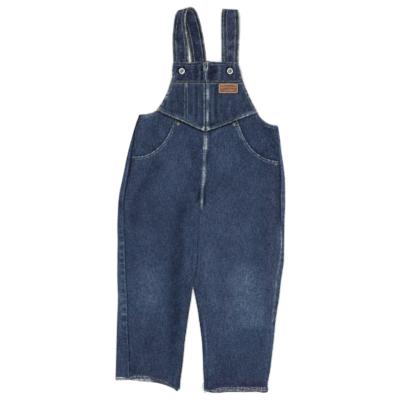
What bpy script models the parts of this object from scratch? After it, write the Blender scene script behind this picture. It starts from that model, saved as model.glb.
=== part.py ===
"""Child's denim dungarees, laid flat on their back with the legs cropped raw.

World axes: +X is the wearer's left, +Y points from the hems to the straps, +Z is up out of the
front. The cloth of the back lies on Z = 0. Sizes are in millimetres until a mesh is made. The
tables give places on the laid-out garment: x from its middle line, y from a point at hip height.
"""

import math

import bmesh
import bpy
import numpy as np

# --- driving sizes, mm --------------------------------------------------------------------
CLOTH = 1.2  # denim, one layer
DOUBLE = 2.4  # denim folded double: straps and bib band
TAPE = 1.0  # zip tape
CLEAR = 0.4  # between layers that lie on each other
SEAM = 0.17  # each side of a seam line
LAYER_GAP = 1.6  # air between back and front along every edge of the tube
FULL_GAP = 3.8  # most air between back and front
FOLD_RADIUS = (CLOTH + LAYER_GAP) / 2  # middle of the cloth where it turns at an edge
BIB_UNDER = 4.4  # underside of the bib above the table
LIFT = CLOTH + CLEAR  # rise of a layer that lies over another
ZIP_HALF = 3.3  # zip slit, half its width
ZIP_HALF_TOP = 5.3  # the same beside the slider
MIDDLE_X, MIDDLE_Y = 0.1, -2.0  # middle of the whole outline
ZIP_END = -14.0  # lowest tooth
BAND_FOOT = 244.0  # seam of band and bib
BACK_TOP = 236.0  # top of the back bib
BUTTON_R, BUTTON_HOLE_R = 7.0, 3.0
RIVET_R = 4.4
LABEL = (39.0, 222.6, 78.6, 241.8)  # x0, y0, x1, y1
SLIDER_L, SLIDER_W, SLIDER_H = 11.4, 8.8, 4.4
TAB_L, TAB_W, TAB_T = 13.5, 5.6, 1.0
TAB_Y = 282.1  # pin of the pull tab
TAB_LIFT = 1.0  # the same above the slider's body

# --- outline tables: y, x ------------------------------------------------------------------
EDGE_R = [  # fold at the wearer's right side
    (178, -127.5), (169.5, -131), (153.5, -136.5), (124, -145), (103, -150.5), (82, -155.5),
    (61, -159.5), (40, -164), (19, -168.5), (-2, -171.5), (-27, -173), (-54.5, -174),
    (-86, -173.5), (-128, -174), (-170, -174), (-212, -173), (-254, -174.5), (-306.5, -176),
    (-348.5, -177), (-380, -178),
]  # fmt: skip
EDGE_L = [  # fold at the wearer's left side
    (155, 163), (145, 164.5), (124, 167.5), (103, 169.5), (82, 172.5), (61, 175.5), (40, 177.5),
    (15, 178), (-12.5, 178), (-44, 176.5), (-75.5, 176), (-107, 175.5), (-132, 175), (-151, 172.5),
    (-171, 169.5), (-210, 165), (-233, 161), (-254, 158), (-296, 154), (-338, 149), (-359, 146.5),
    (-380, 142.5), (-390.5, 141), (-400, 142.5), (-406, 143.5),
]  # fmt: skip
WRAP_R = [  # cloth of the back that comes round to the front, from fold to seam
    (178, 3.2), (124, 3.2), (94, 5), (61, 5.5), (27, 7), (-12, 9.5), (-60, 14), (-128, 16.5),
    (-191, 18.5), (-245, 21), (-317, 26), (-380, 29.5),
]  # fmt: skip
WRAP_L = [
    (155, 3.2), (128, 3.2), (80, 5.5), (50, 8), (19, 9), (-44, 7), (-98, 4), (-123, 7), (-178, 10),
    (-212, 8.5), (-258, 6.5), (-291, 6.5), (-327, 5), (-384, 3.2), (-404, 3.2),
]  # fmt: skip
CENTRE = [  # slit of the zip, then the front seam down to the crotch
    (292, 9), (275, 9.5), (260, 11), (244, 11.5), (208, 11), (166, 11), (142, 11), (118, 10.5),
    (94.5, 9), (57, 8), (21, 4.5), (-8, 3), (-16.5, 1.5), (-48, -3.5), (-86, -5.5), (-117, -6),
    (-140, -7), (-158.5, -11), (-182.5, -15.5),
]  # fmt: skip
INNER_R = [
    (-182.5, -15.7), (-212, -19.5), (-233, -23), (-254, -26), (-275, -29), (-296, -32), (-317, -34),
    (-338, -36), (-359, -38.5), (-380, -41.5), (-396.5, -42.5), (-403, -42.8),
]  # fmt: skip
INNER_L = [
    (-182.5, -15.3), (-212, -9.5), (-233, -5.5), (-254, -2.5), (-275, 0.5), (-296, 3), (-317, 4.5),
    (-338, 5.5), (-359, 6), (-380, 7.3), (-404, 7.8),
]  # fmt: skip
ARMHOLE_R = [  # free side edge of bib and band
    (292, -56.5), (288, -57), (271, -59), (254.5, -60), (245, -62.5), (229, -68), (212.5, -76),
    (195.5, -86), (186.5, -91.5),
]  # fmt: skip
ARMHOLE_L = [
    (292, 78.5), (286, 80), (271, 85), (254.5, 88.5), (245, 91.5), (229, 98), (212.5, 105),
    (195.5, 113.5), (182.5, 120),
]  # fmt: skip

# --- outline tables: x, y ------------------------------------------------------------------
BIB_FOOT = [  # point of the bib, lapped over the legs
    (-91.5, 186.5), (-63.5, 172.5), (-32, 159), (1.5, 145), (11, 142), (18.5, 144.5),
    (41.5, 151.5), (79.5, 167), (120, 182.5),
]  # fmt: skip
BAND_TOP = [
    (-57, 288), (-20, 288), (3, 289), (9, 290.5), (16, 290.3), (40, 287.8), (70, 286.5),
    (80, 285.5),
]  # fmt: skip
BACK_YOKE = [(-128, 177.3), (-63.5, 168), (10, 162), (83.5, 157.5), (163, 154.3)]
POCKET_R = [  # opening, then on under the bib
    (-147.5, 89), (-128.5, 89.5), (-116, 91), (-103.5, 97), (-88.5, 107.5), (-75, 122),
    (-63.5, 142), (-53.5, 167), (-49.5, 178),
]  # fmt: skip
POCKET_L = [
    (167.5, 78.5), (150.5, 81), (136, 85.5), (121.5, 94), (107, 106.5), (95, 124), (85.5, 144),
    (77, 167), (73, 177),
]  # fmt: skip
HEM_FRONT_R = [
    (-178, -373), (-164.5, -372), (-156.5, -375), (-148.5, -375), (-136, -369), (-126, -368.5),
    (-108, -370), (-90, -375), (-78, -379), (-66, -387), (-54, -397), (-48, -402), (-42.5, -395.5),
]  # fmt: skip
HEM_BACK_R = [
    (-178, -380), (-162, -379), (-150.5, -378.5), (-126, -382), (-108, -383.5), (-90, -386),
    (-72, -391.5), (-54, -398.5), (-48, -403), (-42.5, -396.5),
]  # fmt: skip
HEM_FRONT_L = [
    (7.5, -398), (16.5, -399.5), (31, -398.5), (49, -395.5), (75, -394.5), (104.5, -394.5),
    (134.5, -395.5), (143, -394.5),
]  # fmt: skip
HEM_BACK_L = [
    (7.5, -401.5), (24, -406), (60.5, -405), (90, -404.5), (119, -405), (137, -406), (143.5, -403),
]  # fmt: skip

# --- hip pieces behind the pocket openings: seen edge and hidden edge, side seam first --------
HIP_TOP_R = [
    (-124.5, 178), (-114, 178.5), (-107, 179.5), (-100.5, 181), (-95, 184), (-90, 186.5),
    (-82, 187.5), (-70, 183.5), (-58, 178), (-46, 172),
]  # fmt: skip
HIP_LOW_R = [
    (-152.5, 71), (-138, 70.5), (-124, 71.5), (-110, 76), (-97, 83), (-84, 92), (-72, 104),
    (-61, 119), (-52, 134), (-44.5, 150),
]  # fmt: skip
HIP_TOP_L = [
    (160, 155), (154, 155.5), (144.5, 157.5), (135, 162.5), (126.5, 169), (122, 175.5),
    (117, 183), (104, 184.5), (88, 178), (69, 170.5),
]  # fmt: skip
HIP_LOW_L = [
    (168, 60), (156, 61), (144, 64), (132, 69), (120, 76), (108, 86), (97, 98), (86.5, 113),
    (77, 130), (68, 148),
]  # fmt: skip

# --- soft folds of the front: x0, y0, x1, y1, half width, height (below 0: a trough) ----------
FOLDS = [
    (-38, -20, -50, -130, 13, -1.2), (-50, -125, -58, -250, 13, -1.2),
    (-58, -240, -52, -345, 12, -1.1), (-72, -40, -90, -270, 26, 2.0), (-84, -250, -78, -350, 22, 1.4),
    (-24, -60, -36, -215, 13, 1.7), (-40, -225, -44, -345, 10, 1.3), (-124, -50, -132, -270, 24, 1.3),
    (-110, 40, -118, -60, 22, 1.0), (-60, 60, -52, -30, 20, 0.9), (66, 50, 78, -70, 26, 1.1),
    (84, -60, 96, -250, 36, 1.8), (100, -240, 92, -360, 30, 1.3), (28, -190, 38, -345, 15, 1.5),
    (136, -120, 124, -330, 16, 1.1), (30, -20, 22, -130, 16, 1.2), (140, 30, 142, -80, 18, 1.0),
    (52, -120, 58, -300, 12, -1.0), (10, -110, 62, -30, 15, 0.8), (-14, -110, -70, -30, 15, 0.8),
]  # fmt: skip

# --- levels shared by the four leg pieces, y -------------------------------------------------
LEVELS = [60, 30, 0, -18, -28, -60, -100, -140, -170, -180, -190, -204, -235, -270, -305, -335, -356]
TOP_SHARE = [0, 0.14, 0.3, 0.48, 0.66, 0.84]
HEM_SHARE = [0.5, 1]
COLUMNS_R = [-147, -137, -127, -116, -105, -95, -86, -78, -71, -65, -60, -55.5, -51, -41, -30, -18, -6]
COLUMNS_L = [16, 28, 40, 53, 65, 74, 78.5, 83, 88, 94, 101, 109, 118, 128, 139, 150, 160]

# --- straps: left edge x, y, z, then right edge x, y, z of the middle of the cloth ------------
STRAP_R = [
    (-54.5, 250, 2.9, -21.5, 250, 2.9), (-56, 270, 2.9, -22.5, 270, 2.9),
    (-56.5, 289, 2.9, -24, 289, 2.9), (-58, 319.5, 2.7, -25, 319.5, 4.2),
    (-58, 342.5, 2.6, -27.5, 343, 7.5), (-56.3, 360, 3.0, -30, 361, 11.5),
    (-54.5, 374, 4.0, -31, 376, 14.2), (-52, 386, 5.6, -29.5, 389, 15.2),
    (-48, 393, 6.4, -25.5, 397.5, 14.4), (-44, 395, 5.6, -20, 401, 11.6),
    (-41.5, 393, 3.9, -14.5, 399.5, 7.8), (-39, 386, 2.2, -8.5, 392, 4.4),
    (-36.5, 374, 1.2, -3, 377.5, 2.1), (-32.5, 360, 1.2, 1.8, 361, 1.2),
    (-27, 340, 1.2, 6.4, 339, 1.2), (-21, 312, 1.2, 11, 311, 1.2), (-18.5, 290, 1.2, 13.4, 289, 1.2),
    (-15, 262, 1.2, 17, 262, 1.2), (-12, 236.4, 1.2, 20.5, 236.4, 1.2),
]  # fmt: skip
STRAP_L = [
    (46.5, 250, 3.9, 80.5, 250, 3.9), (46.3, 270, 3.9, 80.2, 270, 3.9),
    (46, 289, 3.9, 79.6, 289, 3.9), (44.6, 322, 3.9, 81.3, 322, 3.9), (44.1, 352, 4.0, 82.5, 352, 4.0),
    (44.1, 373, 5.2, 82.3, 372, 5.2), (44.4, 385, 7.3, 81.6, 384, 7.3),
    (45, 392, 8.1, 80.6, 391, 8.1), (46, 395.8, 7.4, 79.8, 394.4, 7.4),
    (46.6, 398, 5.2, 79.2, 396.4, 5.2), (46.2, 397.2, 3.0, 79.6, 395.6, 3.0),
    (45.4, 393.5, 1.5, 80.4, 392, 1.5), (44.9, 384, 1.2, 81, 383, 1.2),
    (44.5, 350, 1.2, 80.5, 350, 1.2), (44.5, 300, 1.2, 80.5, 300, 1.2),
    (45.5, 262, 1.2, 80.8, 262, 1.2), (46, 236.4, 1.2, 81, 236.4, 1.2),
]  # fmt: skip

BUTTONS = {"button_right": (-38.5, 269.0), "button_left": (62.5, 269.0)}
RIVETS = {  # x, y, radius
    "rivet_right_top": (-46, 159, RIVET_R), "rivet_left_top": (71.5, 157.5, RIVET_R),
    "rivet_right_side": (-140.5, 82.5, 3.6), "rivet_left_side": (159, 73, 3.6),
}  # fmt: skip


# --- curves and fields ---------------------------------------------------------------------
def along(table, q):
    """Value at key q on the smooth curve through the (key, value) rows; held past the ends."""
    rows = np.array(sorted(table), float)
    k, v = rows[:, 0], rows[:, 1]
    slope = np.diff(v) / np.diff(k)
    tangent = np.empty(len(k))
    tangent[0], tangent[-1] = slope[0], slope[-1]
    gap = np.diff(k)
    tangent[1:-1] = (slope[:-1] * gap[1:] + slope[1:] * gap[:-1]) / (gap[:-1] + gap[1:])
    q = np.clip(q, k[0], k[-1])
    i = np.clip(np.searchsorted(k, q, side="right") - 1, 0, len(gap) - 1)
    t, h = (q - k[i]) / gap[i], gap[i]
    return (
        (2 * t**3 - 3 * t**2 + 1) * v[i]
        + (t**3 - 2 * t**2 + t) * h * tangent[i]
        + (3 * t**2 - 2 * t**3) * v[i + 1]
        + (t**3 - t**2) * h * tangent[i + 1]
    )


def line(table, q):
    """The same with straight runs between the rows."""
    rows = np.array(sorted(table), float)
    return np.interp(q, rows[:, 0], rows[:, 1])


def ease(low, high, q):
    t = np.clip((q - low) / (high - low), 0, 1)
    return t * t * (3 - 2 * t)


def to_path(path, x, y):
    """Distance in plan from a point to an open path of (x, y) points."""
    best = 1e9
    for (ax, ay), (bx, by) in zip(path[:-1], path[1:]):
        dx, dy = bx - ax, by - ay
        t = min(max(((x - ax) * dx + (y - ay) * dy) / (dx * dx + dy * dy), 0), 1)
        best = min(best, math.hypot(x - ax - t * dx, y - ay - t * dy))
    return best


def inner_edge(side, y):
    """Middle seam above the crotch, fold of the inner leg below it."""
    if y > -182.5:
        return along(CENTRE, y)
    return along(INNER_R if side < 0 else INNER_L, y)


def outer_edge(side, y):
    return along(EDGE_R if side < 0 else EDGE_L, y)


def side_seam(side, y):
    return outer_edge(side, y) - side * along(WRAP_R if side < 0 else WRAP_L, y)


def pocket_lift(x, y):
    """Rise of the cloth that lies over a hip piece."""
    near = min(to_path(POCKET_R, x, y), to_path(POCKET_L, x, y))
    return LIFT * (1 - ease(22, 44, near))


def front_level(side, x, y):
    """Middle of the front cloth above the table, without what lies under it at the pockets."""
    from_side = abs(x - outer_edge(side, y))
    from_middle = abs(x - inner_edge(side, y))
    calm = ease(3, 22, from_side) * ease(9, 24, from_middle) * (1 - ease(60, 105, y))
    rise = 0.5
    for x0, y0, x1, y1, half, height in FOLDS:
        dx, dy = x1 - x0, y1 - y0
        t = ((x - x0) * dx + (y - y0) * dy) / (dx * dx + dy * dy)
        end = ease(-0.15, 0.25, t) * (1 - ease(0.75, 1.15, t))
        across = abs((x - x0) * dy - (y - y0) * dx) / math.hypot(dx, dy) / half
        rise += height * end * max(0.0, 1 - across * across / 4) ** 3
    gap = np.clip(LAYER_GAP + calm * rise, 0.5, FULL_GAP)
    return CLOTH + gap + CLOTH / 2


def bib_under(x, y):
    """Underside of bib and band above the table."""
    over_strap = ease(20, 41, x) * (1 - ease(83, 99, x)) * ease(212, 243, y)
    left, right = along(ARMHOLE_R, y), along(ARMHOLE_L, y)
    near = min(x - left, right - x)
    droop = 1.5 * (1 - ease(0, 15, near)) * ease(192, 206, y) * (1 - ease(228, 243, y))
    ridge = 0.7 * math.exp(-(((x + 9) / 6) ** 2)) * ease(150, 170, y) * (1 - ease(200, 235, y))
    ridge += 0.6 * math.exp(-(((x - 30) / 7) ** 2)) * ease(150, 165, y) * (1 - ease(195, 230, y))
    slack = ease(10, 16, abs(x - along(CENTRE, y)))
    return BIB_UNDER + 1.1 * over_strap + pocket_lift(x, y) - droop + ridge * slack


def zip_level(y):
    """Underside of the zip tape: just under the bib, then just under the legs' front."""
    low = CLOTH + LAYER_GAP - 0.3 - TAPE
    high = BIB_UNDER - 0.3 - TAPE
    return low + (high - low) * ease(160, 190, y)


# --- meshes --------------------------------------------------------------------------------
def material(name, colour, rough, metal=0.0):
    mat = bpy.data.materials.new(name)
    mat.use_nodes = True
    shader = mat.node_tree.nodes["Principled BSDF"]
    shader.inputs["Base Color"].default_value = (*colour, 1)
    shader.inputs["Roughness"].default_value = rough
    shader.inputs["Metallic"].default_value = metal
    return mat


def add_mesh(name, points, faces, mat, smooth=False):
    """A named object from points in mm, turned so that its faces look out."""
    points = np.asarray(points, float) - (MIDDLE_X, MIDDLE_Y, 0)
    mesh = bpy.data.meshes.new(name)
    mesh.from_pydata((points / 1000).tolist(), [], faces)
    bm = bmesh.new()
    bm.from_mesh(mesh)
    if bm.calc_volume(signed=True) < 0:
        bmesh.ops.reverse_faces(bm, faces=bm.faces)
    bm.to_mesh(mesh)
    bm.free()
    for face in mesh.polygons:
        face.use_smooth = smooth
    obj = bpy.data.objects.new(name, mesh)
    obj.data.materials.append(mat)
    bpy.context.scene.collection.objects.link(obj)
    return obj


def wall(name, middle, thick, mat):
    """Cloth of one thickness on a grid of points (rows, columns, 3) along its middle."""
    middle = np.asarray(middle, float)
    rows, columns = middle.shape[:2]
    across = np.cross(np.gradient(middle, axis=1), np.gradient(middle, axis=0))
    across /= np.linalg.norm(across, axis=2, keepdims=True)
    upper = (middle + across * thick / 2).reshape(-1, 3)
    lower = (middle - across * thick / 2).reshape(-1, 3)
    n = rows * columns
    faces = []
    for r in range(rows - 1):
        for c in range(columns - 1):
            a, b = r * columns + c, (r + 1) * columns + c
            faces.append((a, b, b + 1, a + 1))
            faces.append((n + a, n + a + 1, n + b + 1, n + b))
    rim = [c for c in range(columns)]
    rim += [(r + 1) * columns - 1 for r in range(1, rows)]
    rim += [(rows - 1) * columns + c for c in range(columns - 2, -1, -1)]
    rim += [r * columns for r in range(rows - 2, 0, -1)]
    for a, b in zip(rim, rim[1:] + rim[:1]):
        faces.append((a, b, n + b, n + a))
    return add_mesh(name, np.vstack([upper, lower]), faces, mat)


def turned(name, profile, centre, mat, steps=20):
    """A solid of revolution about Z from (radius, z) rows that start and end on the axis."""
    points, rings, faces = [], [], []
    for radius, z in profile:
        if radius < 1e-6:
            rings.append([len(points)])
            points.append((centre[0], centre[1], centre[2] + z))
            continue
        rings.append(list(range(len(points), len(points) + steps)))
        for k in range(steps):
            a = 2 * math.pi * k / steps
            x, y = centre[0] + radius * math.cos(a), centre[1] + radius * math.sin(a)
            points.append((x, y, centre[2] + z))
    for low, high in zip(rings[:-1], rings[1:]):
        for k in range(steps):
            m = (k + 1) % steps
            if len(low) == 1:
                faces.append((low[0], high[m], high[k]))
            elif len(high) == 1:
                faces.append((low[k], low[m], high[0]))
            else:
                faces.append((low[k], low[m], high[m], high[k]))
    return add_mesh(name, points, faces, mat, smooth=True)


def prism(outline, z0, z1):
    """Points and faces of an upright prism on a plan outline of (x, y) points."""
    n = len(outline)
    points = [(x, y, z0) for x, y in outline] + [(x, y, z1) for x, y in outline]
    faces = [tuple(range(n))[::-1], tuple(range(n, 2 * n))]
    faces += [(k, (k + 1) % n, n + (k + 1) % n, n + k) for k in range(n)]
    return points, faces


def combine(obj, tool, operation):
    """Adds the tool's form to the object, or takes it out."""
    tool.hide_render = True
    tool.display_type = "WIRE"
    step = obj.modifiers.new(tool.name, "BOOLEAN")
    step.operation = operation
    step.solver = "EXACT"
    step.object = tool


# --- legs ----------------------------------------------------------------------------------
def column_levels(top, hem):
    rows = [top + (LEVELS[0] - top) * t for t in TOP_SHARE]
    rows += LEVELS
    return rows + [LEVELS[-1] + (hem - LEVELS[-1]) * t for t in HEM_SHARE]


def turn(y):
    """How far the inner edge is turned round: none above the crotch, a quarter below."""
    return 1 - ease(-196, -178, y)


def curl_points(y, share):
    """Run and drop of the cloth's middle along the quarter turn, with its whole reach."""
    length = FOLD_RADIUS * (math.pi / 2 - 0.32)
    bend = max(turn(y), 1e-4)
    angle, last = bend * share * length / FOLD_RADIUS, bend * length / FOLD_RADIUS
    run, drop = FOLD_RADIUS / bend * math.sin(angle), FOLD_RADIUS / bend * (1 - math.cos(angle))
    reach = FOLD_RADIUS / bend * math.sin(last) + CLOTH / 2 * math.sin(last)
    return run, drop, reach


def front_edge(side, y):
    """Inner edge of a leg's front: beside the zip, at the middle seam, or at the fold."""
    slit = (ZIP_HALF - SEAM) * ease(-34, -20, y) + SEAM
    if y > -182.5:
        return along(CENTRE, y) + side * (slit if y > -170 else SEAM)
    return inner_edge(side, y)


def front_leg(name, side, mat):
    columns, pocket = (COLUMNS_R, POCKET_R) if side < 0 else (COLUMNS_L, POCKET_L)
    hem_table = HEM_FRONT_R if side < 0 else HEM_FRONT_L
    corner = pocket[-1][0]
    ref = 80.0

    def foot(y):
        return front_edge(side, y) + side * curl_points(y, 1)[2]

    def place(share, y):
        seam = side_seam(side, y) - side * SEAM
        return seam + (foot(y) - seam) * share

    def top_at(x):
        if (x - corner) * side > 0:
            return along(pocket, x)
        return along(BIB_FOOT, x) + 10

    seam_ref, foot_ref = side_seam(side, ref) - side * SEAM, foot(ref)
    shares = [(x - seam_ref) / (foot_ref - seam_ref) for x in columns]
    shares = sorted([0.0] + [s for s in shares if 0.01 < s < 0.985] + [1.0])
    grid = []
    for share in shares:
        top = ref
        for _ in range(30):
            top = 0.5 * top + 0.5 * top_at(place(share, top))
        hem = along(hem_table, place(share, -385))
        column = []
        for y in column_levels(top, hem):
            x = place(share, y)
            column.append((x, y, front_level(side, x, y) + pocket_lift(x, y)))
        grid.append(column)
    top, hem = grid[-1][0][1], grid[-1][-1][1]
    for share in (1 / 3, 2 / 3, 1):
        column = []
        for y in column_levels(top, hem):
            run, drop, _ = curl_points(y, share)
            x = foot(y)
            level = front_level(side, x, y) + pocket_lift(x, y)
            column.append((x - side * run, y, level - drop))
        grid.append(column)
    return wall(name, np.swapaxes(np.array(grid), 0, 1), CLOTH, mat)


def back_leg(name, side, mat):
    corner = 178.0 if side < 0 else 155.0
    hem_front, hem_back = (HEM_FRONT_R, HEM_BACK_R) if side < 0 else (HEM_FRONT_L, HEM_BACK_L)
    reach = FOLD_RADIUS + CLOTH / 2
    floor = CLOTH / 2

    def foot(y):
        line_x = along(CENTRE, y) + side * SEAM if y > -182.5 else inner_edge(side, y)
        return line_x + side * curl_points(y, 1)[2]

    grid = []
    edge_top = along(BACK_YOKE, foot(160)) - SEAM
    edge_hem = along(hem_back, foot(-398))
    for share in (1, 2 / 3, 1 / 3):
        column = []
        for y in column_levels(edge_top, edge_hem):
            run, drop, _ = curl_points(y, share)
            column.append((foot(y) - side * run, y, floor + drop))
        grid.append(column)
    for share in (0, 0.12, 0.3, 0.5, 0.7, 0.88, 1):
        x_top = foot(165) + (outer_edge(side, corner) - side * reach - foot(165)) * share
        x_hem = foot(-395) + (outer_edge(side, -395) - side * reach - foot(-395)) * share
        top = along(BACK_YOKE, x_top) - SEAM
        hem = along(hem_back, x_hem)
        column = []
        for y in column_levels(top, hem):
            last = outer_edge(side, y) - side * reach
            column.append((foot(y) + (last - foot(y)) * share, y, floor))
        grid.append(column)
    low_hem, high_hem = grid[-1][-1][1], along(hem_front, outer_edge(side, -385))
    for k in range(1, 7):
        angle = math.pi * k / 6
        hem = low_hem + (high_hem - low_hem) * k / 6
        column = []
        for y in column_levels(corner - 0.5, hem):
            x = outer_edge(side, y) - side * reach
            column.append((x + side * FOLD_RADIUS * math.sin(angle), y,
                           floor + FOLD_RADIUS * (1 - math.cos(angle))))
        grid.append(column)
    for share in (1 / 3, 2 / 3, 1):
        column = []
        start, end = outer_edge(side, -385) - side * reach, side_seam(side, -385) + side * SEAM
        hem = along(hem_front, start + (end - start) * share)
        for y in column_levels(corner - 0.5, hem):
            start, end = outer_edge(side, y) - side * reach, side_seam(side, y) + side * SEAM
            x = start + (end - start) * share
            column.append((x, y, front_level(side, x, y)))
        grid.append(column)
    return wall(name, np.swapaxes(np.array(grid), 0, 1), CLOTH, mat)


def hip(name, side, mat):
    """Piece seen behind the pocket opening, from the free edge down to under the leg's front."""
    upper, lower = (HIP_TOP_R, HIP_LOW_R) if side < 0 else (HIP_TOP_L, HIP_LOW_L)
    grid = []
    for share in (0, 0.12, 0.28, 0.46, 0.64, 0.82, 1):
        row = []
        for k, ((ax, ay), (bx, by)) in enumerate(zip(upper, lower)):
            x, y = ax + (bx - ax) * share, ay + (by - ay) * share
            bow = side_seam(side, y) - side * SEAM - (upper[0][0] + (lower[0][0] - upper[0][0]) * share)
            x += bow * (1 - k / (len(upper) - 1)) ** 2
            row.append((x, y, front_level(side, x, y)))
        grid.append(row)
    return wall(name, grid, CLOTH, mat)


# --- bib -----------------------------------------------------------------------------------
def slit_edge(side, y):
    half = ZIP_HALF + (ZIP_HALF_TOP - ZIP_HALF) * ease(262, 274, y)
    return along(CENTRE, y) + side * half


def bib(name, side, mat):
    edge = ARMHOLE_R if side < 0 else ARMHOLE_L
    grid = []
    for down in (0, 0.1, 0.24, 0.38, 0.52, 0.66, 0.8, 0.91, 1):
        row = []
        for share in (0, 0.08, 0.18, 0.3, 0.42, 0.54, 0.66, 0.78, 0.87, 0.94, 1):
            x, y = 0.0, 200.0
            for _ in range(30):
                x = along(edge, y) + (slit_edge(side, y) - along(edge, y)) * share
                y = 0.4 * y + 0.6 * (BAND_FOOT - SEAM + (along(BIB_FOOT, x) - BAND_FOOT) * down)
            row.append((x, y, bib_under(x, y) + CLOTH / 2))
        grid.append(row)
    return wall(name, grid, CLOTH, mat)


def band(name, side, button, mat):
    edge = ARMHOLE_R if side < 0 else ARMHOLE_L
    grid = []
    for up in (0, 0.25, 0.5, 0.75, 1):
        row = []
        for share in (0, 0.08, 0.2, 0.34, 0.48, 0.6, 0.72, 0.84, 0.93, 1):
            x, y = 0.0, 260.0
            for _ in range(20):
                x = along(edge, y) + (slit_edge(side, y) - along(edge, y)) * share
                y = BAND_FOOT + SEAM + (line(BAND_TOP, x) - BAND_FOOT - SEAM) * up
            row.append((x, y, bib_under(x, y) + DOUBLE / 2))
        grid.append(row)
    obj = wall(name, grid, DOUBLE, mat)
    x, y = button
    slot = []
    for k in range(12):
        a = 2 * math.pi * k / 12 + math.pi / 12
        slot.append((x + 1.7 * math.cos(a), y + 1.7 * math.sin(a) + math.copysign(6.6, math.sin(a))))
    cutter = add_mesh("buttonhole_" + name, *prism(slot, 2, 12), mat)
    combine(obj, cutter, "DIFFERENCE")
    return obj


def back_bib(name, mat):
    left = [(-116, 175.8), (-98, 178), (-80, 184), (-66, 195), (-54, 210), (-45, 224), (-40, BACK_TOP)]
    right = [(151, 155.1), (137, 158), (122, 166), (109, 180), (99, 198), (91, 217), (86, BACK_TOP)]
    grid = []
    for k, ((ax, ay), (bx, by)) in enumerate(zip(left, right)):
        row = []
        for share in np.linspace(0, 1, 12):
            x, y = ax + (bx - ax) * share, ay + (by - ay) * share
            yoke = along(BACK_YOKE, x) + SEAM
            y += (yoke - ay - (by - ay) * share) * (1 - k / 6) ** 2 if k < 6 else 0
            row.append((x, y, CLOTH / 2))
        grid.append(row)
    return wall(name, grid, CLOTH, mat)


# --- straps --------------------------------------------------------------------------------
def strap(name, table, loop, mat):
    """Double cloth through its rows; the rows in the loop get two more between each pair."""
    rows = np.array(table, float)
    keys = np.arange(len(rows))
    fine = sorted(set(keys) | {k + f for k in range(loop[0], loop[1]) for f in (1 / 3, 2 / 3)})
    grid = []
    for q in fine:
        ends = np.array([along(list(zip(keys, rows[:, c])), q) for c in range(6)])
        ends[[2, 5]] = np.maximum(ends[[2, 5]], DOUBLE / 2)
        grid.append([ends[:3] + (ends[3:] - ends[:3]) * s for s in (0, 0.25, 0.5, 0.75, 1)])
    return wall(name, grid, DOUBLE, mat)


# --- zip -----------------------------------------------------------------------------------
def zip_strip(name, near, far, top, low, raise_by, thick, mat):
    """A strip along the zip between two distances from its middle line."""
    levels = sorted({top, low, *[y for y in range(-10, 275, 12) if low + 4 < y < top - 4]}, reverse=True)
    grid = []
    for y in levels:
        x, z = along(CENTRE, y), zip_level(y) + raise_by + thick / 2
        grid.append([(x + near, y, z), (x + far, y, z)])
    return wall(name, grid, thick, mat)


def slider(name, mat):
    """Shield-shaped body with a low arch that carries the pull tab."""
    x, y, z = along(CENTRE, TAB_Y), TAB_Y + 0.4, BIB_UNDER
    w, l = SLIDER_W / 2, SLIDER_L / 2
    half = [(w, 0.1 * l), (w * 0.93, 0.8 * l), (w * 0.55, l)]
    foot = [(w * 0.45, -l), (w * 0.66, -0.8 * l)]
    shape = half + [(-a, b) for a, b in half[::-1]] + [(-a, b) for a, b in foot[::-1]] + foot
    body = add_mesh(name, *prism([(x + a, y + b) for a, b in shape], z, z + SLIDER_H), mat)
    arch = [
        (-3.0, -0.6), (-3.0, 2.0), (-2.2, 3.2), (2.2, 3.2), (3.0, 2.0), (3.0, -0.6), (1.7, -0.6),
        (1.7, 2.2), (-1.7, 2.2), (-1.7, -0.6),
    ]  # fmt: skip
    points, faces = prism(arch, -0.9, 0.9)
    points = [(x + c, TAB_Y + a, z + SLIDER_H + b) for a, b, c in points]
    carrier = add_mesh("slider_arch", points, faces, mat)
    combine(body, carrier, "UNION")
    return body


def pull_tab(name, mat):
    """Flat tab with an eye round the arch; it lies towards the hems and swings up about X."""
    x, z = along(CENTRE, TAB_Y), BIB_UNDER + SLIDER_H + TAB_LIFT
    t, w = TAB_T / 2, TAB_W / 2
    half = [(w, 0.5), (w * 0.8, -5), (w * 0.8, 1.6 - TAB_L), (w * 0.5, 0.6 - TAB_L)]
    shape = half + [(-a, b) for a, b in half[::-1]]
    tab = add_mesh(name, *prism([(x + a, TAB_Y + b) for a, b in shape], z - t, z + t), mat)
    eye = [(-1.35, -0.5), (1.35, -0.5), (1.35, -3.9), (-1.35, -3.9)]
    hole = add_mesh("tab_eye", *prism([(x + a, TAB_Y + b) for a, b in eye], z - 2, z + 2), mat)
    combine(tab, hole, "DIFFERENCE")
    return tab


# --- trims ---------------------------------------------------------------------------------
def button(name, place, strap_top, mat):
    x, y = place
    under = bib_under(x, y) + DOUBLE + 0.3
    stem = strap_top + 0.3 - under
    profile = [
        (0, stem), (1.3, stem), (1.3, 0), (5.6, 0), (6.7, 0.5), (BUTTON_R, 1.4), (6.6, 2.4), (5.6, 3.0),
        (4.5, 2.8), (3.5, 2.1), (BUTTON_HOLE_R, 1.2), (0, 1.0),
    ]  # fmt: skip
    return turned(name, profile, (x, y, under), mat)


def rivet(name, place, mat):
    x, y, radius = place
    side = -1 if x < 0 else 1
    z = front_level(side, x, y) + pocket_lift(x, y) + CLOTH / 2 + 0.35
    profile = [
        (0, 0), (radius * 0.93, 0), (radius, 0.4), (radius * 0.8, 1.0), (radius * 0.4, 1.35), (0, 1.45),
    ]  # fmt: skip
    return turned(name, profile, (x, y, z), mat, steps=16)


def label(name, mat):
    x0, y0, x1, y1 = LABEL
    grid = []
    for y in np.linspace(y1, y0, 5):
        grid.append([(x, y, bib_under(x, y) + CLOTH + 0.35 + 0.7) for x in np.linspace(x0, x1, 8)])
    return wall(name, grid, 1.4, mat)


# --- build ---------------------------------------------------------------------------------
for old in list(bpy.data.objects):
    bpy.data.objects.remove(old, do_unlink=True)

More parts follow.
